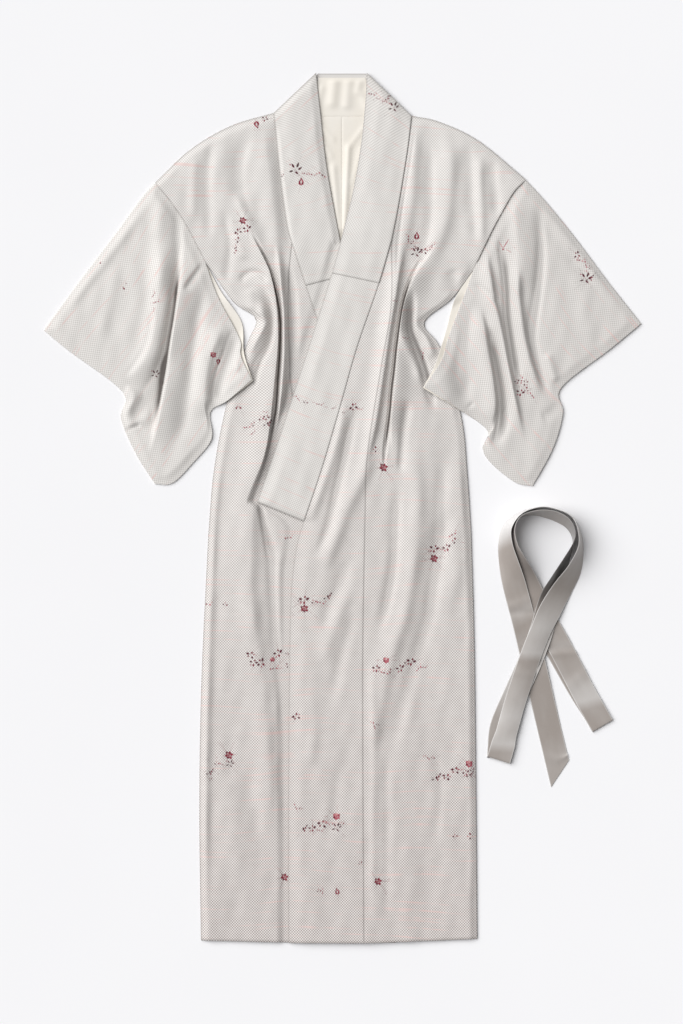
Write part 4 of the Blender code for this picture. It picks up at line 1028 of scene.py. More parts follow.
# What the left front lies on at some y, from hem to neck: how thick that is and the x where it ends.
LapStep = namedtuple("LapStep", "y thickness end")
PLAIN = CLOTH + SEAM_GAP + LAP_AIR
STRIP = COLLAR_CLOTH + SEAM_GAP + LAP_AIR
COLLARS = COLLAR_CLOTH + OVER_CLOTH + 2 * SEAM_GAP + LAP_AIR
LAP_STEPS = (
    LapStep(HEM, PLAIN, 0.170),
    LapStep(-0.14, PLAIN, 0.170),
    LapStep(-0.05, STRIP, 0.205),
    LapStep(0.00, STRIP, 0.240),
    LapStep(0.30, STRIP, 0.175),
    LapStep(0.36, STRIP, 0.163),
    LapStep(0.42, COLLARS, 0.151),
    LapStep(0.50, COLLARS, 0.135),
    LapStep(0.555, COLLARS, 0.135),
    LapStep(0.64, 0.0, 0.135),
)
NECK_SEAM_LEFT = ((0.138, 0.784), (0.129, 0.712), (0.111, 0.602), (0.098, 0.536))
OKUMI_CHEST_LEFT = ((0.098, 0.536), (0.097, 0.402), (0.077, 0.280), (0.050, 0.108), (0.045, -0.026))

FOLDS_LEFT = (
    Fold(-2.5, 2, 2, (
        (147, 772), (139, 716), (130, 656), (121, 604), (114, 552), (109, 504), (104, 444),
    )),
    Fold(5, 13, 12, (
        (141, 772), (145, 716), (142, 676), (139, 636), (134, 596), (127, 556), (121, 516), (115, 480),
    )),
    Fold(12, 15, 6, (
        (121, 544), (117, 500), (110, 466), (105, 432), (99, 392), (93, 356), (87, 316), (81, 276),
        (75, 236), (69, 196), (61, 152), (51, 112), (39, 68),
    ), hang=2),
    Fold(7, 18, 14, ((63, 136), (47, 80), (27, 36), (9, 0), (-3, -36), (-21, -80), (-41, -136))),
    Fold(-4, 13, 9, (
        (169, 744), (175, 706), (176, 672), (177, 632), (176, 592), (171, 552), (163, 516), (149, 484),
    )),
    Fold(-24, 3, 3, (
        (161, 504), (145, 476), (131, 444), (120, 404), (113, 360), (107, 316), (103, 276), (98, 236),
        (95, 196), (90, 156), (85, 116), (83, 72),
    )),
    Fold(6.5, 21, 15, (
        (207, 748), (214, 706), (215, 672), (214, 636), (211, 596), (201, 556), (189, 520), (175, 488),
    )),
    Fold(13, 5, 20, (
        (195, 536), (175, 500), (155, 468), (139, 432), (129, 396), (123, 356), (119, 316), (116, 276),
        (112, 236), (107, 196), (103, 152), (101, 104),
    ), hang=-8),
    Fold(-3.5, 13, 9, ((249, 736), (255, 700), (257, 656), (259, 606), (263, 560), (267, 520))),
    Fold(4, 10, 9, ((277, 716), (275, 672), (276, 636), (278, 596), (278, 552), (279, 512))),
    Fold(-4, 10, 8, ((299, 696), (303, 656), (307, 616), (309, 580))),
    Fold(-4, 12, 10, ((219, 480), (225, 452), (227, 424))),
    Fold(-16, 10, 5, (
        (147, 444), (145, 416), (142, 392), (141, 356), (151, 324), (161, 296), (171, 264), (177, 232),
        (185, 192),
    )),
    Fold(6, 8, 8, ((155, 372), (169, 336), (183, 296))),
    Fold(5, 8, 8, ((123, 356), (137, 316), (149, 280), (159, 244))),
    Fold(-6, 7, 8, ((133, 224), (129, 192), (123, 156), (119, 116), (115, 64))),
    Fold(7, 20, 16, (
        (149, 166), (147, 112), (149, 56), (151, -4), (145, -74), (137, -144), (125, -208), (107, -264),
        (91, -320), (79, -374),
    )),
    Fold(4, 20, 14, ((99, -294), (83, -354), (71, -420), (65, -484))),
    Fold(-6, 12, 9, ((115, 60), (109, 6), (105, -74), (99, -144), (85, -208), (67, -264))),
    Fold(-5.5, 15, 14, (
        (221, 140), (205, 112), (197, 66), (197, 16), (197, -44), (191, -104), (181, -164), (173, -224),
        (155, -274), (137, -324),
    )),
    Fold(-4, 15, 14, ((165, -244), (141, -314), (123, -384), (107, -440), (99, -494))),
    Fold(4, 22, 18, ((233, 112), (233, 36), (229, -44), (223, -134), (211, -214))),
    Fold(5, 8, 10, ((7, 224), (-3, 166), (-15, 120), (-29, 76), (-43, 36), (-55, 0), (-67, -36))),
    Fold(-6, 9, 10, (
        (31, 216), (19, 168), (9, 124), (-1, 80), (-11, 36), (-19, 0), (-29, -40), (-45, -80),
        (-65, -108),
    )),
    Fold(-3.5, 12, 12, ((15, -96), (-3, -144), (-25, -196), (-41, -256))),
    Fold(3.5, 14, 12, ((19, -154), (-5, -208), (-25, -264), (-41, -320))),
    Fold(-3, 12, 12, ((27, -204), (7, -264), (-9, -320), (-17, -384))),
    Fold(2, 14, 12, ((-61, -364), (-57, -444), (-65, -524))),
    Fold(-2, 12, 12, ((-5, -504), (-15, -584), (-25, -664))),
    Fold(2.5, 8, 10, ((57, -264), (61, -384), (63, -504), (61, -624), (61, -744), (61, -844))),
    Fold(-2, 9, 9, ((87, -464), (89, -584), (89, -704), (87, -834))),
    Fold(4, 9, 7, (
        (247, 76), (253, -24), (257, -144), (261, -264), (263, -424), (265, -584), (265, -834),
    )),
    Fold(-1.5, 12, 8, ((187, -474), (195, -564), (187, -684))),
)
SPRIGS_FRONT_LEFT = (
    Sprig("rosebud", 148, 544, 0, 1.45), Sprig("petals", 131, 539, 100, 1.16),
    Sprig("specks", 140, 530, 60, 1.01), Sprig("berries", 147, 519, 90, 0.87),
    Sprig("fan", 148, 511, 0, 1.45), Sprig("leaves", 162, 515, 150, 1.16),
    Sprig("specks", 177, 518, 60, 1.01), Sprig("petals", 181, 526, 40, 0.87),
    Sprig("petals", 105, 413, 0, 0.72), Sprig("petals", 127, 339, 0, 0.87),
    Sprig("petals", 160, 306, 100, 1.16), Sprig("specks", 67, 117, 100, 1.45),
    Sprig("bloom", 82, 81, 0, 1.67), Sprig("bloom", 183, -101, 0, 1.59),
    Sprig("leaves", 185, -82, 0, 1.45), Sprig("specks", 174, -87, 0, 0.87),
    Sprig("petals", 201, -83, 0, 0.87), Sprig("leaves", 210, -79, 30, 1.3),
    Sprig("specks", 225, -66, 90, 1.45), Sprig("petals", 221, -52, 40, 1.3),
    Sprig("faded", 87, -304, 0, 1.38), Sprig("leaves", 69, -321, 10, 1.3),
    Sprig("specks", 74, -327, 0, 1.01), Sprig("petals", 86, -329, 0, 1.3),
    Sprig("specks", 96, -326, 90, 1.16), Sprig("leaves", 117, -320, 30, 1.3),
    Sprig("specks", 128, -311, 0, 1.3), Sprig("leaves", 139, -308, 0, 1.45),
    Sprig("petals", 153, -319, 60, 1.16), Sprig("petals", 163, -318, 10, 1.01),
    Sprig("petals", 62, -433, 120, 1.16), Sprig("specks", 70, -433, 0, 0.87),
    Sprig("petals", 168, -498, 150, 1.01), Sprig("specks", 180, -500, 0, 1.01),
    Sprig("berries", 188, -539, 0, 1.45), Sprig("leaves", 207, -536, 150, 1.3),
    Sprig("leaves", 224, -523, 160, 1.3), Sprig("petals", 235, -523, 0, 0.87),
    Sprig("faded", 253, -511, 0, 1.59), Sprig("specks", 259, -524, 30, 1.16),
    Sprig("leaves", 248, -529, 30, 1.16), Sprig("berries", 255, -533, 0, 1.16),
    Sprig("bloom", 71, -746, 0, 1.52), Sprig("specks", 225, -657, 20, 1.3),
    Sprig("specks", 256, -656, 100, 1.59),
)
SPRIGS_OKUMI_LEFT = (
    Sprig("leaves", -75, -184, 10, 1.59), Sprig("specks", -86, -187, 0, 1.01),
    Sprig("bloom", -76, -201, 20, 1.59), Sprig("specks", -57, -189, 30, 1.3),
    Sprig("petals", -42, -189, 0, 1.3), Sprig("berries", -29, -177, 0, 1.3),
    Sprig("leaves", -94, -416, 180, 1.3), Sprig("petals", -95, -596, 130, 1.01),
    Sprig("specks", -84, -601, 0, 0.87), Sprig("berries", -78, -641, 0, 1.3),
    Sprig("leaves", -59, -640, 20, 1.16), Sprig("leaves", -42, -630, 160, 1.45),
    Sprig("petals", -31, -629, 150, 1.01), Sprig("petals", -44, -644, 0, 1.01),
    Sprig("faded", -12, -616, 0, 1.59), Sprig("fan", -11, -638, 0, 1.3),
    Sprig("specks", -1, -632, 30, 1.16), Sprig("specks", -47, -766, 20, 1.16),
    Sprig("petals", -40, -764, 100, 0.87), Sprig("rosebud", -11, -766, 20, 1.23),
    Sprig("specks", 36, -710, 50, 1.01), Sprig("specks", 2, 190, 0, 0.72),
    Sprig("leaves", 20, 202, 200, 1.3), Sprig("petals", 35, 198, 0, 0.87),
)
SPRIGS_COLLAR_LEFT = (
    Sprig("petals", -91, 220, 140, 1.01), Sprig("specks", -74, 210, 0, 1.16),
    Sprig("petals", -45, 207, 0, 1.01), Sprig("petals", -17, 200, 30, 0.72),
)
SPRIGS_SECOND_LEFT = (
    Sprig("petals", 60, 827, 0, 1.16), Sprig("petals", 72, 818, 0, 0.72),
    Sprig("twig", 91, 820, 30, 0.87), Sprig("fan", 103, 801, 0, 1.45),
    Sprig("petals", 85, 812, 0, 0.87),
)


def lap_edge(y):
    """X of the left front's free edge: collar, end of the collar, overlap."""
    return side_limit(y, NECK_EDGE_LEFT, CHEST_EDGE_LEFT, OKUMI_EDGE_LEFT)


def left_height(x, y):
    """Underside of the wearer's left front."""
    rows = LapStep(*zip(*LAP_STEPS))
    lap = np.interp(y, rows.y, rows.thickness) * rise(np.interp(y, rows.y, rows.end) - x, LAP_END)
    free = LAP_LOFT + (1 - LAP_LOFT) * rise(x - lap_edge(y), SIDE_TAPER)
    return back_stack(x, y) + lap + relief(x, y, FOLDS_LEFT) * seam_hold(x, y) * free


def left_drape(x, y):
    """The drape of the left front."""
    return front_drape(x, y, FOLDS_LEFT, rise(x - lap_edge(y), SIDE_TAPER))


neck_seam = smooth_path(NECK_SEAM_LEFT, NECK_ROWS)
okumi_seam = joined(smooth_path(OKUMI_CHEST_LEFT, CHEST_ROWS), smooth_path(OKUMI_SKIRT_LEFT, SKIRT_ROWS))
deepest = min(FOLDS_LEFT, key=lambda fold: fold.height)
inner_edge = joined(neck_seam, okumi_seam)
grid = panel(inner_edge, left_side, SHOULDER_LEFT[1:-1], columns=FRONT_LEFT_COLUMNS, fold=deepest)
piece = lay_panel("front_left_cloth", grid, left_height, CLOTH, body_silk, SPRIGS_FRONT_LEFT, left_drape)
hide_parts("front_left")

chest_seam = smooth_path(CHEST_SEAM_LEFT, CHEST_ROWS)
free_edge = smooth_path(OKUMI_EDGE_LEFT, SKIRT_ROWS)
grid = panel(joined(chest_seam, free_edge)[1:], okumi_seam[1:], columns=OKUMI_COLUMNS)
piece = lay_panel("okumi_left_cloth", grid, left_height, CLOTH, body_silk, SPRIGS_OKUMI_LEFT, left_drape)
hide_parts("okumi_left")

outer_edge = collar_edge(NECK_EDGE_LEFT, CHEST_EDGE_LEFT)
collar = panel(outer_edge, joined(neck_seam, chest_seam), columns=COLLAR_COLUMNS)
on_collar = above(left_height, COLLAR_CLOTH)
for name, rows, underside, thick, length, area, sprigs in (
    ("collar_left", None, left_height, COLLAR_CLOTH, 0.94, 0.085, SPRIGS_COLLAR_LEFT),
    ("over_collar_left", second, on_collar, OVER_CLOTH, 0.44, 0.036, SPRIGS_SECOND_LEFT),
):
    run = along_strip(collar)[:rows]
    piece = lay_panel(name + "_cloth", collar[:rows], underside, thick, collar_silk, sprigs, weave=run)
    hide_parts(name)

# The sleeves. Each is one length of the silk, folded along its top edge and sewn below, set into the
# armhole and left open on the body side, where a strip of the cream sleeve lining shows past the edge of
# the upper layer.
CUFF = 1.195 / 2
FURI_ROWS = 75          # rows down the open edge on the body side
SLEEVE_COLUMNS = 144
LINING_COLUMNS = 23     # of the under layer, which the strip of lining covers
SLEEVE_REST = 0.0125    # height of the body under the sleeve's open edge
CREASE_TAPER = 0.012
HEM_TAPER = 0.022
EDGE_LOFT = 0.3         # share of its loft that a sleeve keeps at its open edges
LINING_LIFT = 0.0019
LINING_BREADTH = 0.045
LINING_ROWS = 0.85      # share of the armhole's rows above which no lining lifts the upper layer
SEAM_TURN = 0.0005
CREASE_AT, CREASE_IN = 0.5, 1.4     # how many thicknesses in from the fold its outer and inner faces start
UNDER_STEPS = 8, 5      # the hidden layer keeps every eighth row by the armhole and every fifth below it

# The seam lines of a sleeve: its folded top, the armhole, the open edges of its upper and under layers, its
# outer edge and its lower one.
SleeveCut = namedtuple("SleeveCut", "top armhole furi under_furi outer bottom")
CUT_RIGHT = SleeveCut(
    top=((-0.375, 0.650), (-0.399, 0.624), (-0.453, 0.550), (-0.519, 0.463), (-CUFF, 0.356)),
    armhole=ARMHOLE_RIGHT,
    furi=((-0.274, 0.491), (-0.249, 0.422), (-0.206, 0.340), (-0.203, 0.304), (-0.181, 0.256)),
    under_furi=((-0.274, 0.491), (-0.241, 0.430), (-0.202, 0.372), (-0.197, 0.310), (-0.179, 0.254)),
    outer=(
        (-CUFF, 0.356), (-0.549, 0.316), (-0.439, 0.232),
        (-0.443, 0.180), (-0.414, 0.110), (-0.375, 0.048),
    ),
    bottom=((-0.340, 0.050), (-0.301, 0.088), (-0.262, 0.138), (-0.264, 0.192), (-0.229, 0.215)),
)
CUT_LEFT = SleeveCut(
    top=((0.367, 0.656), (0.405, 0.615), (0.463, 0.544), (0.535, 0.448), (CUFF, 0.369)),
    armhole=ARMHOLE_LEFT,
    furi=((0.261, 0.474), (0.245, 0.430), (0.211, 0.340), (0.198, 0.296), (0.163, 0.242)),
    under_furi=((0.261, 0.474), (0.225, 0.418), (0.206, 0.350), (0.184, 0.284), (0.161, 0.240)),
    outer=(
        (CUFF, 0.369), (0.533, 0.316), (0.437, 0.240),
        (0.441, 0.190), (0.421, 0.120), (0.380, 0.044),
    ),
    bottom=((0.285, 0.161), (0.280, 0.120), (0.297, 0.090), (0.345, 0.052)),
)
FOLDS_SLEEVE_RIGHT = (
    Fold(6, 16, 20, ((-363, 636), (-364, 588), (-365, 540), (-366, 492), (-367, 444), (-369, 416))),
    Fold(11, 16, 28, (
        (-365, 544), (-366, 492), (-368, 436), (-372, 396), (-377, 356), (-384, 324), (-396, 294),
        (-414, 268), (-433, 242),
    ), hang=3),
    Fold(-5, 11, 7, ((-325, 624), (-327, 566), (-327, 516), (-327, 476), (-330, 436), (-336, 404))),
    Fold(-19, 12, 3, (
        (-327, 500), (-329, 456), (-333, 416), (-339, 376), (-346, 336), (-352, 296), (-358, 256),
        (-365, 216), (-374, 176), (-387, 140),
    )),
    Fold(12, 6, 31, (
        (-313, 544), (-317, 512), (-320, 484), (-323, 452), (-327, 416), (-332, 376), (-338, 336),
        (-343, 296), (-349, 256), (-357, 216), (-365, 176), (-375, 136), (-387, 96),
    ), hang=-2),
    Fold(-5, 14, 12, (
        (-277, 472), (-281, 420), (-290, 376), (-295, 336), (-299, 296), (-303, 256), (-310, 216),
        (-317, 176), (-331, 136), (-345, 92),
    )),
    Fold(9, 22, 12, (
        (-237, 376), (-253, 336), (-266, 304), (-273, 272), (-276, 240), (-277, 204), (-275, 176),
    )),
    Fold(-11, 8, 14, (
        (-211, 368), (-221, 340), (-230, 312), (-241, 284), (-249, 256), (-255, 228), (-258, 194),
    )),
    Fold(5, 7, 8, ((-199, 336), (-205, 300), (-215, 268))),
    Fold(-4, 3, 9, ((-278, 492), (-290, 474), (-303, 454), (-316, 432))),
    Fold(2.5, 8, 12, ((-385, 622), (-429, 562), (-473, 504), (-517, 446), (-561, 386))),
    Fold(-1.2, 9, 14, ((-401, 572), (-441, 516), (-481, 464), (-517, 420), (-549, 376))),
    Fold(8, 5, 38, ((-423, 248), (-431, 224), (-434, 200), (-431, 176), (-421, 148))),
    Fold(-8, 15, 16, ((-355, 320), (-364, 286), (-379, 248), (-397, 212), (-417, 184), (-431, 158))),
    Fold(-2.5, 5, 4, ((-381, 404), (-386, 360), (-395, 324), (-413, 292), (-437, 258))),
    Fold(-4, 4, 4, ((-439, 150), (-421, 160), (-401, 168))),
    Fold(2, 14, 14, ((-445, 492), (-465, 416), (-485, 336))),
    Fold(1.5, 16, 16, ((-405, 496), (-421, 396), (-449, 316))),
)
FOLDS_SLEEVE_LEFT = (
    Fold(10, 20, 7, (
        (271, 406), (279, 366), (285, 326), (292, 286), (298, 246), (301, 212), (298, 180), (288, 152),
    ), hang=3),
    Fold(-15, 7, 12, (
        (289, 368), (297, 332), (306, 296), (313, 260), (318, 226), (319, 196), (317, 168), (309, 142),
        (295, 120),
    )),
    Fold(11, 13, 7, (
        (281, 536), (287, 496), (293, 456), (299, 416), (309, 376), (317, 336), (324, 296), (332, 256),
        (341, 216), (351, 176), (363, 128),
    ), hang=3),
    Fold(-15, 6, 9, (
        (311, 548), (319, 508), (325, 472), (328, 436), (329, 404), (331, 376), (337, 336), (343, 296),
        (350, 256), (359, 220),
    )),
    Fold(7, 12, 28, ((343, 632), (348, 576), (352, 526), (351, 476), (350, 420))),
    Fold(10, 12, 8, (
        (349, 488), (349, 436), (353, 392), (359, 352), (367, 316), (376, 284), (387, 256), (403, 226),
    ), hang=2),
    Fold(-8, 11, 7, (
        (391, 606), (395, 566), (398, 516), (396, 466), (390, 416), (383, 372), (380, 340), (385, 304),
        (394, 272), (402, 248), (414, 228), (431, 208),
    )),
    Fold(4, 8, 9, ((407, 312), (417, 280), (427, 248))),
    Fold(-6, 18, 16, ((251, 424), (245, 360), (241, 300), (243, 248), (251, 208))),
    Fold(3, 16, 10, ((203, 356), (195, 316), (187, 272))),
    Fold(-2.5, 3, 4, ((257, 450), (279, 438), (299, 420), (313, 400))),
    Fold(-2.5, 4, 4, ((265, 212), (251, 200), (239, 180))),
    Fold(2.5, 10, 8, ((383, 624), (427, 572), (471, 516), (515, 458), (559, 400))),
    Fold(-1.5, 12, 9, ((375, 604), (415, 552), (459, 496), (503, 440), (539, 388))),
    Fold(-3, 10, 12, ((435, 212), (419, 192), (395, 180))),
    Fold(1.5, 16, 16, ((465, 476), (485, 396), (495, 326))),
)
SPRIGS_SLEEVE_RIGHT = (
    Sprig("dot", -484, 489, 0, 0.9), Sprig("dot", -432, 448, 30, 0.6),
    Sprig("dot", -436, 438, 60, 1.25), Sprig("petals", -377, 427, 70, 0.87),
    Sprig("petals", -371, 412, 30, 1.01), Sprig("petals", -377, 396, 90, 0.6),
    Sprig("fan", -373, 268, 0, 1.16), Sprig("faded", -258, 306, 0, 1.3),
    Sprig("rosebud", -248, 292, 180, 1.09),
)
SPRIGS_SLEEVE_LEFT = (
    Sprig("leaves", 470, 507, 70, 1.16), Sprig("petals", 476, 495, 0, 1.16),
    Sprig("petals", 485, 488, 120, 1.16), Sprig("specks", 494, 481, 100, 0.87),
    Sprig("petals", 489, 471, 140, 0.87), Sprig("fan", 487, 459, 0, 1.59),
    Sprig("berries", 495, 459, 0, 1.16), Sprig("leaves", 350, 253, 30, 0.87),
    Sprig("petals", 358, 257, 90, 1.16), Sprig("specks", 366, 252, 0, 1.16),
    Sprig("specks", 365, 243, -40, 1.3), Sprig("leaves", 357, 230, 0, 1.3),
    Sprig("specks", 367, 234, 0, 1.01), Sprig("petals", 377, 226, 140, 1.16),
    Sprig("stems", 321, 519, 0, 1.6),
)


def over_body(x, y):
    """How far the sleeve is carried up where its open edge lies on the body."""
    inside = np.where(
        x < 0,
        x - side_limit(y, CHEST_SIDE_RIGHT, SKIRT_SIDE_RIGHT),
        side_limit(y, CHEST_SIDE_LEFT, SKIRT_SIDE_LEFT) - x,
    )
    beside = rise(UNDER_ARM - 2 * SIDE_TAPER - y, SIDE_TAPER)
    return SLEEVE_REST * rise(inside + SIDE_TAPER, 2 * SIDE_TAPER) * beside


def sleeve_hold(grid):
    """1 in the open sleeve, 0 along its folded top and its sewn lower edge, and low along its open ones."""
    from_top = np.linalg.norm(grid - grid[:1], axis=-1)
    from_bottom = np.linalg.norm(grid - grid[-1:], axis=-1)
    sides = EDGE_LOFT + (1 - EDGE_LOFT) * rise(from_rim(grid), HEM_TAPER)
    return rise(from_top, CREASE_TAPER) * rise(from_bottom, HEM_TAPER) * sides


def along_sleeve(grid, cut):
    """Weave of a sleeve, whose weft runs parallel to its folded top."""
    ahead = np.subtract(cut.top[-1], cut.top[0])
    ahead /= np.linalg.norm(ahead)
    down = np.array([-ahead[1], ahead[0]])
    return np.dstack([grid @ ahead, grid @ down])


def make_sleeve(name, cut, folds, finish, sprigs):
    """One sleeve, folded along its top, with the strip of lining at its open edge."""
    rows = ARM_ROWS + FURI_ROWS
    on_right = name == "right"
    far_edge = smooth_path(cut.outer, rows)
    layers = []
    for furi in (cut.furi, cut.under_furi):
        body_edge = joined(smooth_path(cut.armhole, ARM_ROWS), smooth_path(furi, FURI_ROWS))
        edges, top = (body_edge, far_edge), cut.top
        if on_right:
            edges, top = edges[::-1], top[::-1]
        layers.append(inset(panel(*edges, top[1:-1], cut.bottom, SLEEVE_COLUMNS)))
    upper, under = layers
    weave_upper, weave_under = along_sleeve(upper, cut), along_sleeve(under, cut)
    x, y = upper[..., 0], upper[..., 1]
    edge = from_rim(upper)
    from_furi = np.linalg.norm(upper - upper[:, [-1 if on_right else 0]], axis=-1)
    over_lining = LINING_LIFT * (1 - rise(from_furi - LINING_BREADTH, SIDE_TAPER))
    below_arm = np.arange(rows + 1) - LINING_ROWS * ARM_ROWS
    over_lining *= rise(below_arm, (1 - LINING_ROWS) * ARM_ROWS)[:, None]
    hold = sleeve_hold(upper)
    low = over_body(x, y) + CLOTH + SEAM_GAP + (relief(x, y, folds) * hold + over_lining)
    under_low = over_body(under[..., 0], under[..., 1])
    high = low + CLOTH - SEAM_TURN * np.exp(-(edge / ROLLED) ** 2)
    # The tone is painted shade in the sleeve's creases.
    _, carried, tone = folds_at(x, y, folds)
    upper = np.dstack([x + carried * (hold * rise(edge, SIDE_HOLD)), y])

    inward = upper[1] - upper[0]
    inward = inward / np.linalg.norm(inward, axis=-1, keepdims=True) * CLOTH
    crease = upper[0].copy()
    upper_in, under_in = upper.copy(), under.copy()
    for start, *faces in ((CREASE_AT, upper, under), (CREASE_IN, upper_in, under_in)):
        for grid in faces:
            grid[0] = crease + inward * start
    crease_height = np.full(len(crease), CLOTH + SEAM_GAP / 2)
    by_arm, by_furi = UNDER_STEPS
    kept = [0, 1, *range(by_arm, ARM_ROWS, by_arm), *range(ARM_ROWS, rows + 1, by_furi)]
    outer_grid = np.concatenate([
        np.dstack([under, under_low])[kept][::-1],
        np.column_stack([crease, crease_height])[None],
        np.dstack([upper, high]),
    ])
    inner_grid = np.concatenate([
        np.dstack([under_in, under_low + CLOTH])[kept][::-1],
        np.column_stack([crease + inward, crease_height])[None],
        np.dstack([upper_in, low]),
    ])
    weave = np.concatenate([weave_under[kept][::-1], weave_upper[:1], weave_upper])
    tone = np.concatenate([np.zeros((len(kept) + 1, upper.shape[1])), tone * hold])
    shell = "sleeve_" + name + "_cloth"
    piece = cloth_shell(shell, outer_grid, inner_grid, weave, finish, sprigs, cream, tone)
    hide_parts("sleeve_" + name)

    columns = slice(-LINING_COLUMNS, None) if on_right else slice(0, LINING_COLUMNS)
    strip = np.dstack([under, under_low + CLOTH + SEAM_GAP])[ARM_ROWS:, columns][::-1]
    run = weave_under[ARM_ROWS:, columns][::-1]
    lining = cloth_shell("sleeve_lining_" + name + "_cloth", strip + (0, 0, LINING), strip, run, cream)
    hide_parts("sleeve_lining_" + name)


# The left sleeve gets darker tones than the right one: painted shade for the light falling off on that
# side.
SHADED_SLEEVE_LIGHT, SHADED_SLEEVE_DARK = (0.761, 0.735, 0.71), (0.376, 0.355, 0.335)
right_silk = patterned_silk("patterned silk, right sleeve", COLLAR_LIGHT, COLLAR_DARK, COLLAR_DARK)
left_silk = patterned_silk("patterned silk, left sleeve", SHADED_SLEEVE_LIGHT, SHADED_SLEEVE_DARK, SHADED_SLEEVE_DARK)
make_sleeve("right", CUT_RIGHT, FOLDS_SLEEVE_RIGHT, right_silk, SPRIGS_SLEEVE_RIGHT)
make_sleeve("left", CUT_LEFT, FOLDS_SLEEVE_LEFT, left_silk, SPRIGS_SLEEVE_LEFT)

# The belt: one narrow ribbon of silk satin, hemmed at its edges, laid in a loop beside the robe. It stands
# on its edge round the loop, comes back inside itself and ends folded under its second leg.
BELT_WIDTH = 0.047
BELT_CLOTH = 0.0012
BELT_STEP = 0.004
BELT_ACROSS = 13        # points across the ribbon

# The ribbon's middle line as it lies: x and y in metres, its bank in degrees, where 90 stands on edge, and
# its lift above the floor.
BELT_OUTWARD = (
    (0.435, -0.531, 0, 0), (0.415, -0.448, 0, 0), (0.397, -0.372, 0, 0.0015),
    (0.379, -0.296, 0, 0.0040), (0.363, -0.228, 0, 0.0040), (0.346, -0.164, -8, 0.0020),
    (0.331, -0.106, -38, 0), (0.325, -0.070, -56, 0), (0.329, -0.038, -70, 0), (0.353, -0.011, -84, 0),
    (0.387, 0.001, -90, 0), (0.417, 0.000, -90, 0), (0.455, -0.015, -88, 0), (0.472, -0.045, -82, 0),
    (0.475, -0.080, -74, 0), (0.462, -0.124, -50, 0), (0.440, -0.160, -32, 0.0010),
    (0.419, -0.196, -20, 0.0050), (0.398, -0.240, -12, 0.0075), (0.375, -0.298, -7, 0.0075),
    (0.346, -0.384, -3, 0.0075), (0.319, -0.480, 0, 0.0075), (0.313, -0.500, 0, 0.0075),
)
BELT_RETURN = (
    (0.313, -0.500, 0, 0), (0.314, -0.478, 0, 0.0004), (0.319, -0.436, 0, 0.0016),
    (0.344, -0.376, 0, 0.0048), (0.376, -0.304, 0, 0.0056), (0.398, -0.244, 4, 0.0050),
    (0.414, -0.184, 25, 0), (0.430, -0.144, 50, 0), (0.445, -0.108, 70, 0), (0.458, -0.077, 84, 0),
    (0.461, -0.054, 98, 0), (0.452, -0.034, 108, 0), (0.437, -0.022, 113, 0), (0.413, -0.013, 111, 0),
    (0.383, -0.010, 101, 0), (0.355, -0.018, 93, 0), (0.3415, -0.041, 86, 0), (0.3410, -0.072, 72, 0),
    (0.349, -0.104, 47, 0), (0.368, -0.148, 15, 0), (0.385, -0.184, 4, 0.0008),
    (0.405, -0.224, 0, 0.0016), (0.442, -0.291, 0, 0.0018), (0.482, -0.368, 0, 0.0022),
    (0.511, -0.420, 0, 0.0036), (0.519, -0.434, 0, 0.0040),
)
BELT_HIDDEN = (
    (0.519, -0.434, 0, 0), (0.505, -0.410, 0, 0), (0.478, -0.368, 0, 0), (0.439, -0.300, 0, 0),
    (0.420, -0.266, 0, 0),
)
BELT_POINT = ((0.417, -0.558), (0.453, -0.504))
CUT_SLANT = 0.045       # the slant of the cut end has gone after this length

# Painted shine of the satin at places along the ribbon: metres from its cut end and how brightly it is
# painted, below 0 painted shade in the hollow.
SATIN_PAINTED_LIGHT = (
    (0.00, 0.3), (0.03, 0.4), (0.08, 0.0), (0.17, 0.0), (0.24, 0.15), (0.275, 0.35), (0.305, 0.0),
    (0.333, 0.55), (0.36, 0.15), (0.40, 0.0), (0.465, 0.1), (0.49, 1.3), (0.515, 2.0), (0.55, 1.6),
    (0.60, 0.6), (0.68, 0.5), (0.73, 0.5), (0.77, 0.15), (0.81, 0.1), (0.85, 0.55), (0.90, 1.0),
    (0.93, 0.85), (0.955, 1.05), (0.972, 0.15), (1.00, 0.3), (1.03, 0.45), (1.06, 0.65), (1.09, 1.0),
    (1.12, 0.75), (1.145, 1.0), (1.163, 0.1), (1.20, 0.2), (1.26, 0.3), (1.32, 0.9), (1.45, 0.8),
    (1.49, 0.0), (1.52, -1.6), (1.56, -2.2), (1.66, -2.2), (1.70, -0.4), (1.77, -0.3), (1.83, -0.1),
    (1.87, -0.9), (1.90, -1.1), (1.93, -0.4), (1.96, 0.0), (2.06, 0.15), (2.075, 0.45), (2.09, 0.15),
    (2.13, 0.3), (2.165, 0.85), (2.195, 1.1), (2.215, 0.2), (2.45, 0.0),
)
# Small dents across the ribbon, in metres: the place, the half breadth, the height and how far they slant.
Dent = namedtuple("Dent", "along breadth height slant")
DENTS = (
    Dent(0.030, 0.009, 0.0016, 0.012), Dent(0.331, 0.008, -0.0018, 0.006),
    Dent(0.350, 0.010, 0.0012, -0.004), Dent(0.960, 0.007, 0.0016, 0.004),
    Dent(0.978, 0.006, -0.0018, 0.005), Dent(1.000, 0.006, 0.0010, -0.004),
    Dent(1.052, 0.006, -0.0012, 0.006), Dent(1.108, 0.010, 0.0010, 0.004),
    Dent(2.078, 0.007, -0.0012, -0.012), Dent(2.092, 0.006, 0.0012, -0.010),
    Dent(2.150, 0.012, 0.0010, 0.006),
)
# The top strip where the belt crosses is drawn in a little and arched, so that the strip beneath shows.
Crimp = namedtuple("Crimp", "start end grows dies width arch")
TOP_STRIP = Crimp(0.86, 1.15, 0.05, 0.03, 0.89, 0.0022)
# How far the bands of painted shine slant across the ribbon.
PAINTED_LIGHT_SLANT = 0.006
UNDER_TURN = range(15, 166, 15)         # degrees round the fold at which the ribbon gets a point


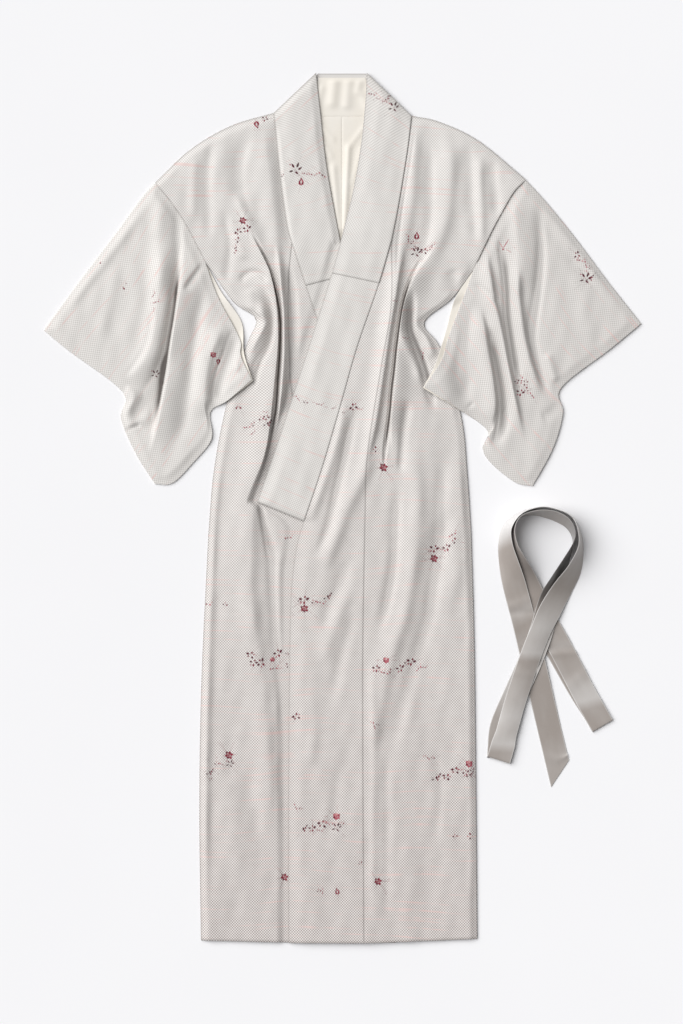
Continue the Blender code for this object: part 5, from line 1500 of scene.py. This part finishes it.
def ribbon_run(points, flipped, first_across=None):
    """Middle points of the ribbon and the vectors to its right-hand edge, at even steps along one run."""
    table = np.array(points, float)
    length = np.linalg.norm(np.diff(table[:, :2], axis=0), axis=1).sum()
    table = smooth_path(table, int(round(length / BELT_STEP)))
    plan, bank, lift = table[:, :2], np.radians(table[:, 2]), np.maximum(table[:, 3], 0)
    ahead = np.gradient(plan, axis=0)
    ahead /= np.linalg.norm(ahead, axis=1, keepdims=True)
    beside = np.column_stack([-ahead[:, 1], ahead[:, 0]])
    across = np.column_stack([beside * np.cos(bank)[:, None], np.sin(bank)]) * BELT_WIDTH / 2
    if flipped:
        across = -across
    if first_across is not None:
        square = rise(np.arange(len(across)) * BELT_STEP, CUT_SLANT)[:, None]
        across = across * square + first_across * (1 - square)
    height = lift + np.abs(np.sin(bank)) * BELT_WIDTH / 2 + np.abs(np.cos(bank)) * BELT_CLOTH / 2
    return np.column_stack([plan, height]), across


def turn_under(upper, lower, across, ahead):
    """Middle points of the ribbon where it folds back beneath itself."""
    angles = np.radians(UNDER_TURN)[:, None]
    middle, half = (upper + lower) / 2, (upper - lower) / 2
    reach = np.linalg.norm(half)
    turned = middle + half * np.cos(angles) + ahead * reach * np.sin(angles)
    return turned, np.repeat(across[None], len(angles), axis=0)


# The satin's darker colour, and the painted highlight that its painted shine lightens it towards.
SATIN_DARK = (0.335, 0.295, 0.268)
SATIN_PAINTED_HIGHLIGHT = (0.80, 0.79, 0.78)
HOLLOW_DARK = (0.05, 0.043, 0.04)   # inside the loop, where hardly any light comes
HOLLOW_DEPTH = 0.92
HEM_FROM, HEM_TO = 0.462, 0.492     # shares of the width over which the painted highlight on the hemmed edge grows
HEM_PAINTED_HIGHLIGHT = 0.45
BRIGHTEST = 2.3         # the painted shine that stands for the brightest satin


def belt_satin():
    """Grey satin with a painted silvery shine streaking along the ribbon, painted highlights on its hems
    and painted shade in the loop's hollow.
    """
    material, tree, shader, weave = new_cloth("grey satin")
    cloudy = uneven(tree, weave, (30, 12), 3.0)
    threads = uneven(tree, weave, (2600, 60))
    tone = add_node(tree, "ShaderNodeAttribute", attribute_name="tone").outputs["Fac"]
    painted_shine = sums(tree, "MULTIPLY_ADD", sums(tree, "SUBTRACT", cloudy, 0.5), 0.30, tone)
    colour = blended(tree, painted_shine, SATIN_DARK, SATIN_PAINTED_HIGHLIGHT)
    colour = blended(tree, sums(tree, "MULTIPLY", threads, 0.12), colour, SATIN_DARK)
    side = sums(tree, "ABSOLUTE", add_node(tree, "ShaderNodeSeparateXYZ", weave).outputs[0])
    hem = (BELT_WIDTH * HEM_FROM, BELT_WIDTH * HEM_TO)
    # A painted highlight along the hemmed edges.
    edge = add_node(tree, "ShaderNodeMapRange", side, *hem, 0.0, HEM_PAINTED_HIGHLIGHT).outputs[0]
    colour = blended(tree, edge, colour, SATIN_PAINTED_HIGHLIGHT)
    # Painted shade in the hollow of the loop, where the tone is below 0.
    hollow = add_node(tree, "ShaderNodeMapRange", tone, 0.0, -1.0, 0.0, HOLLOW_DEPTH).outputs[0]
    colour = blended(tree, hollow, colour, HOLLOW_DARK)
    rough = sums(tree, "MULTIPLY_ADD", cloudy, 0.14, 0.28)
    feed(tree, shader, colour, rough, threads, 0.25, 0.00012, {"Sheen Weight": 0.25, "Anisotropic": 0.5})
    return material


cut_end = np.array(BELT_POINT)
outward = ribbon_run(BELT_OUTWARD, False, np.append((cut_end[0] - cut_end[1]) / 2, 0))
back = ribbon_run(BELT_RETURN, True)
hidden = ribbon_run(BELT_HIDDEN, False)
middles, acrosses = [outward[0]], [outward[1]]
for before, after in ((outward, back), (back, hidden)):
    ahead = before[0][-1] - before[0][-2]
    turn = turn_under(before[0][-1], after[0][0], before[1][-1], ahead / np.linalg.norm(ahead))
    middles += [turn[0], after[0]]
    acrosses += [turn[1], after[1]]
middle, across = np.vstack(middles), np.vstack(acrosses)
tangent = np.gradient(middle, axis=0)
thick = np.cross(tangent, across)
thick *= BELT_CLOTH / 2 / np.linalg.norm(thick, axis=1, keepdims=True)
share = np.linspace(-1, 1, BELT_ACROSS)[None, :, None]
along = np.concatenate([[0], np.cumsum(np.linalg.norm(np.diff(middle, axis=0), axis=1))])
crimped = rise(along - TOP_STRIP.start, TOP_STRIP.grows) * rise(TOP_STRIP.end - along, TOP_STRIP.dies)
across = across * (1 - (1 - TOP_STRIP.width) * crimped[:, None])
centre_line = middle[:, None] + across[:, None] * share
side, place = np.meshgrid(share[0, :, 0], along)
height = centre_line[..., 2]
height += TOP_STRIP.arch * crimped[:, None] * (1 - side ** 2)
for dent in DENTS:
    height += dent.height * np.exp(-((place - dent.along - dent.slant * side) / dent.breadth) ** 2)
np.maximum(height, BELT_CLOTH / 2, out=height)
# Painted shine along the ribbon and painted shade in the hollow, carried by the tone attribute.
tone = np.interp(place + PAINTED_LIGHT_SLANT * side, *zip(*SATIN_PAINTED_LIGHT)) / BRIGHTEST
weave = np.dstack([side * BELT_WIDTH / 2, place])
faces = centre_line + thick[:, None], centre_line - thick[:, None]
piece = cloth_shell("belt_cloth", *faces, weave, belt_satin(), tone=tone)
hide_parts("belt")

# The floor: a plain near-white paper sweep, a little mottled, on which the robe is laid out. It lies a hair
# below the robe's underside.
FLOOR_REACH = 15.0
FLOOR_HEIGHT = -0.0004
PAPER_DULL, PAPER_LIGHT = (0.905, 0.902, 0.918), (0.925, 0.922, 0.938)
floor_mesh = bpy.data.meshes.new("floor")
corners = [
    (x * FLOOR_REACH, y * FLOOR_REACH, FLOOR_HEIGHT) for x, y in ((-1, -1), (1, -1), (1, 1), (-1, 1))
]
floor_mesh.from_pydata(corners, [], [(0, 1, 2, 3)])
floor = bpy.data.objects.new("floor", floor_mesh)
bpy.context.scene.collection.objects.link(floor)
paper = bpy.data.materials.new("white paper")
paper.use_nodes = True
tree = paper.node_tree
shader = tree.nodes["Principled BSDF"]
place = add_node(tree, "ShaderNodeNewGeometry").outputs["Position"]
mottle = add_node(tree, "ShaderNodeTexNoise", place, None, 3.0, 2.0).outputs[0]
tree.links.new(blended(tree, mottle, PAPER_DULL, PAPER_LIGHT), shader.inputs["Base Color"])
shader.inputs["Roughness"].default_value = 0.9
shader.inputs["Specular IOR Level"].default_value = 0.1
floor_mesh.materials.append(paper)

# The light: one large soft source from the upper left, as the folds' shadows show it, in a pale room that
# fills them in a little.
LIGHT_FROM = (-0.62, 0.34, 0.75)
LIGHT_SOFTNESS = 60     # degrees across
LIGHT_STRENGTH = 3.30
ROOM_STRENGTH = 0.25
light = bpy.data.lights.new("key light", "SUN")
light.angle = np.radians(LIGHT_SOFTNESS)
light.energy = LIGHT_STRENGTH
lamp = bpy.data.objects.new("key light", light)
lamp.rotation_euler = Vector(LIGHT_FROM).to_track_quat("Z", "Y").to_euler()
bpy.context.scene.collection.objects.link(lamp)
world = bpy.data.worlds.new("pale room")
world.use_nodes = True
world.node_tree.nodes["Background"].inputs["Color"].default_value = (1, 1, 1, 1)
world.node_tree.nodes["Background"].inputs["Strength"].default_value = ROOM_STRENGTH
bpy.context.scene.world = world
bpy.context.scene.view_settings.view_transform = "Standard"

# The camera: straight above, far enough off for little perspective, and framed as the photograph is, whose
# sides are 683 by 1024.
FRAME_MIDDLE = (-0.002, -0.008)
FRAME_HEIGHT = 2.048
CAMERA_HEIGHT = 9.0
camera_data = bpy.data.cameras.new("camera")
camera_data.sensor_width = 36.0
camera_data.lens = camera_data.sensor_width * CAMERA_HEIGHT / FRAME_HEIGHT
camera_data.clip_end = 50.0
camera = bpy.data.objects.new("camera", camera_data)
camera.location = (*FRAME_MIDDLE, CAMERA_HEIGHT)
bpy.context.scene.collection.objects.link(camera)
bpy.context.scene.camera = camera
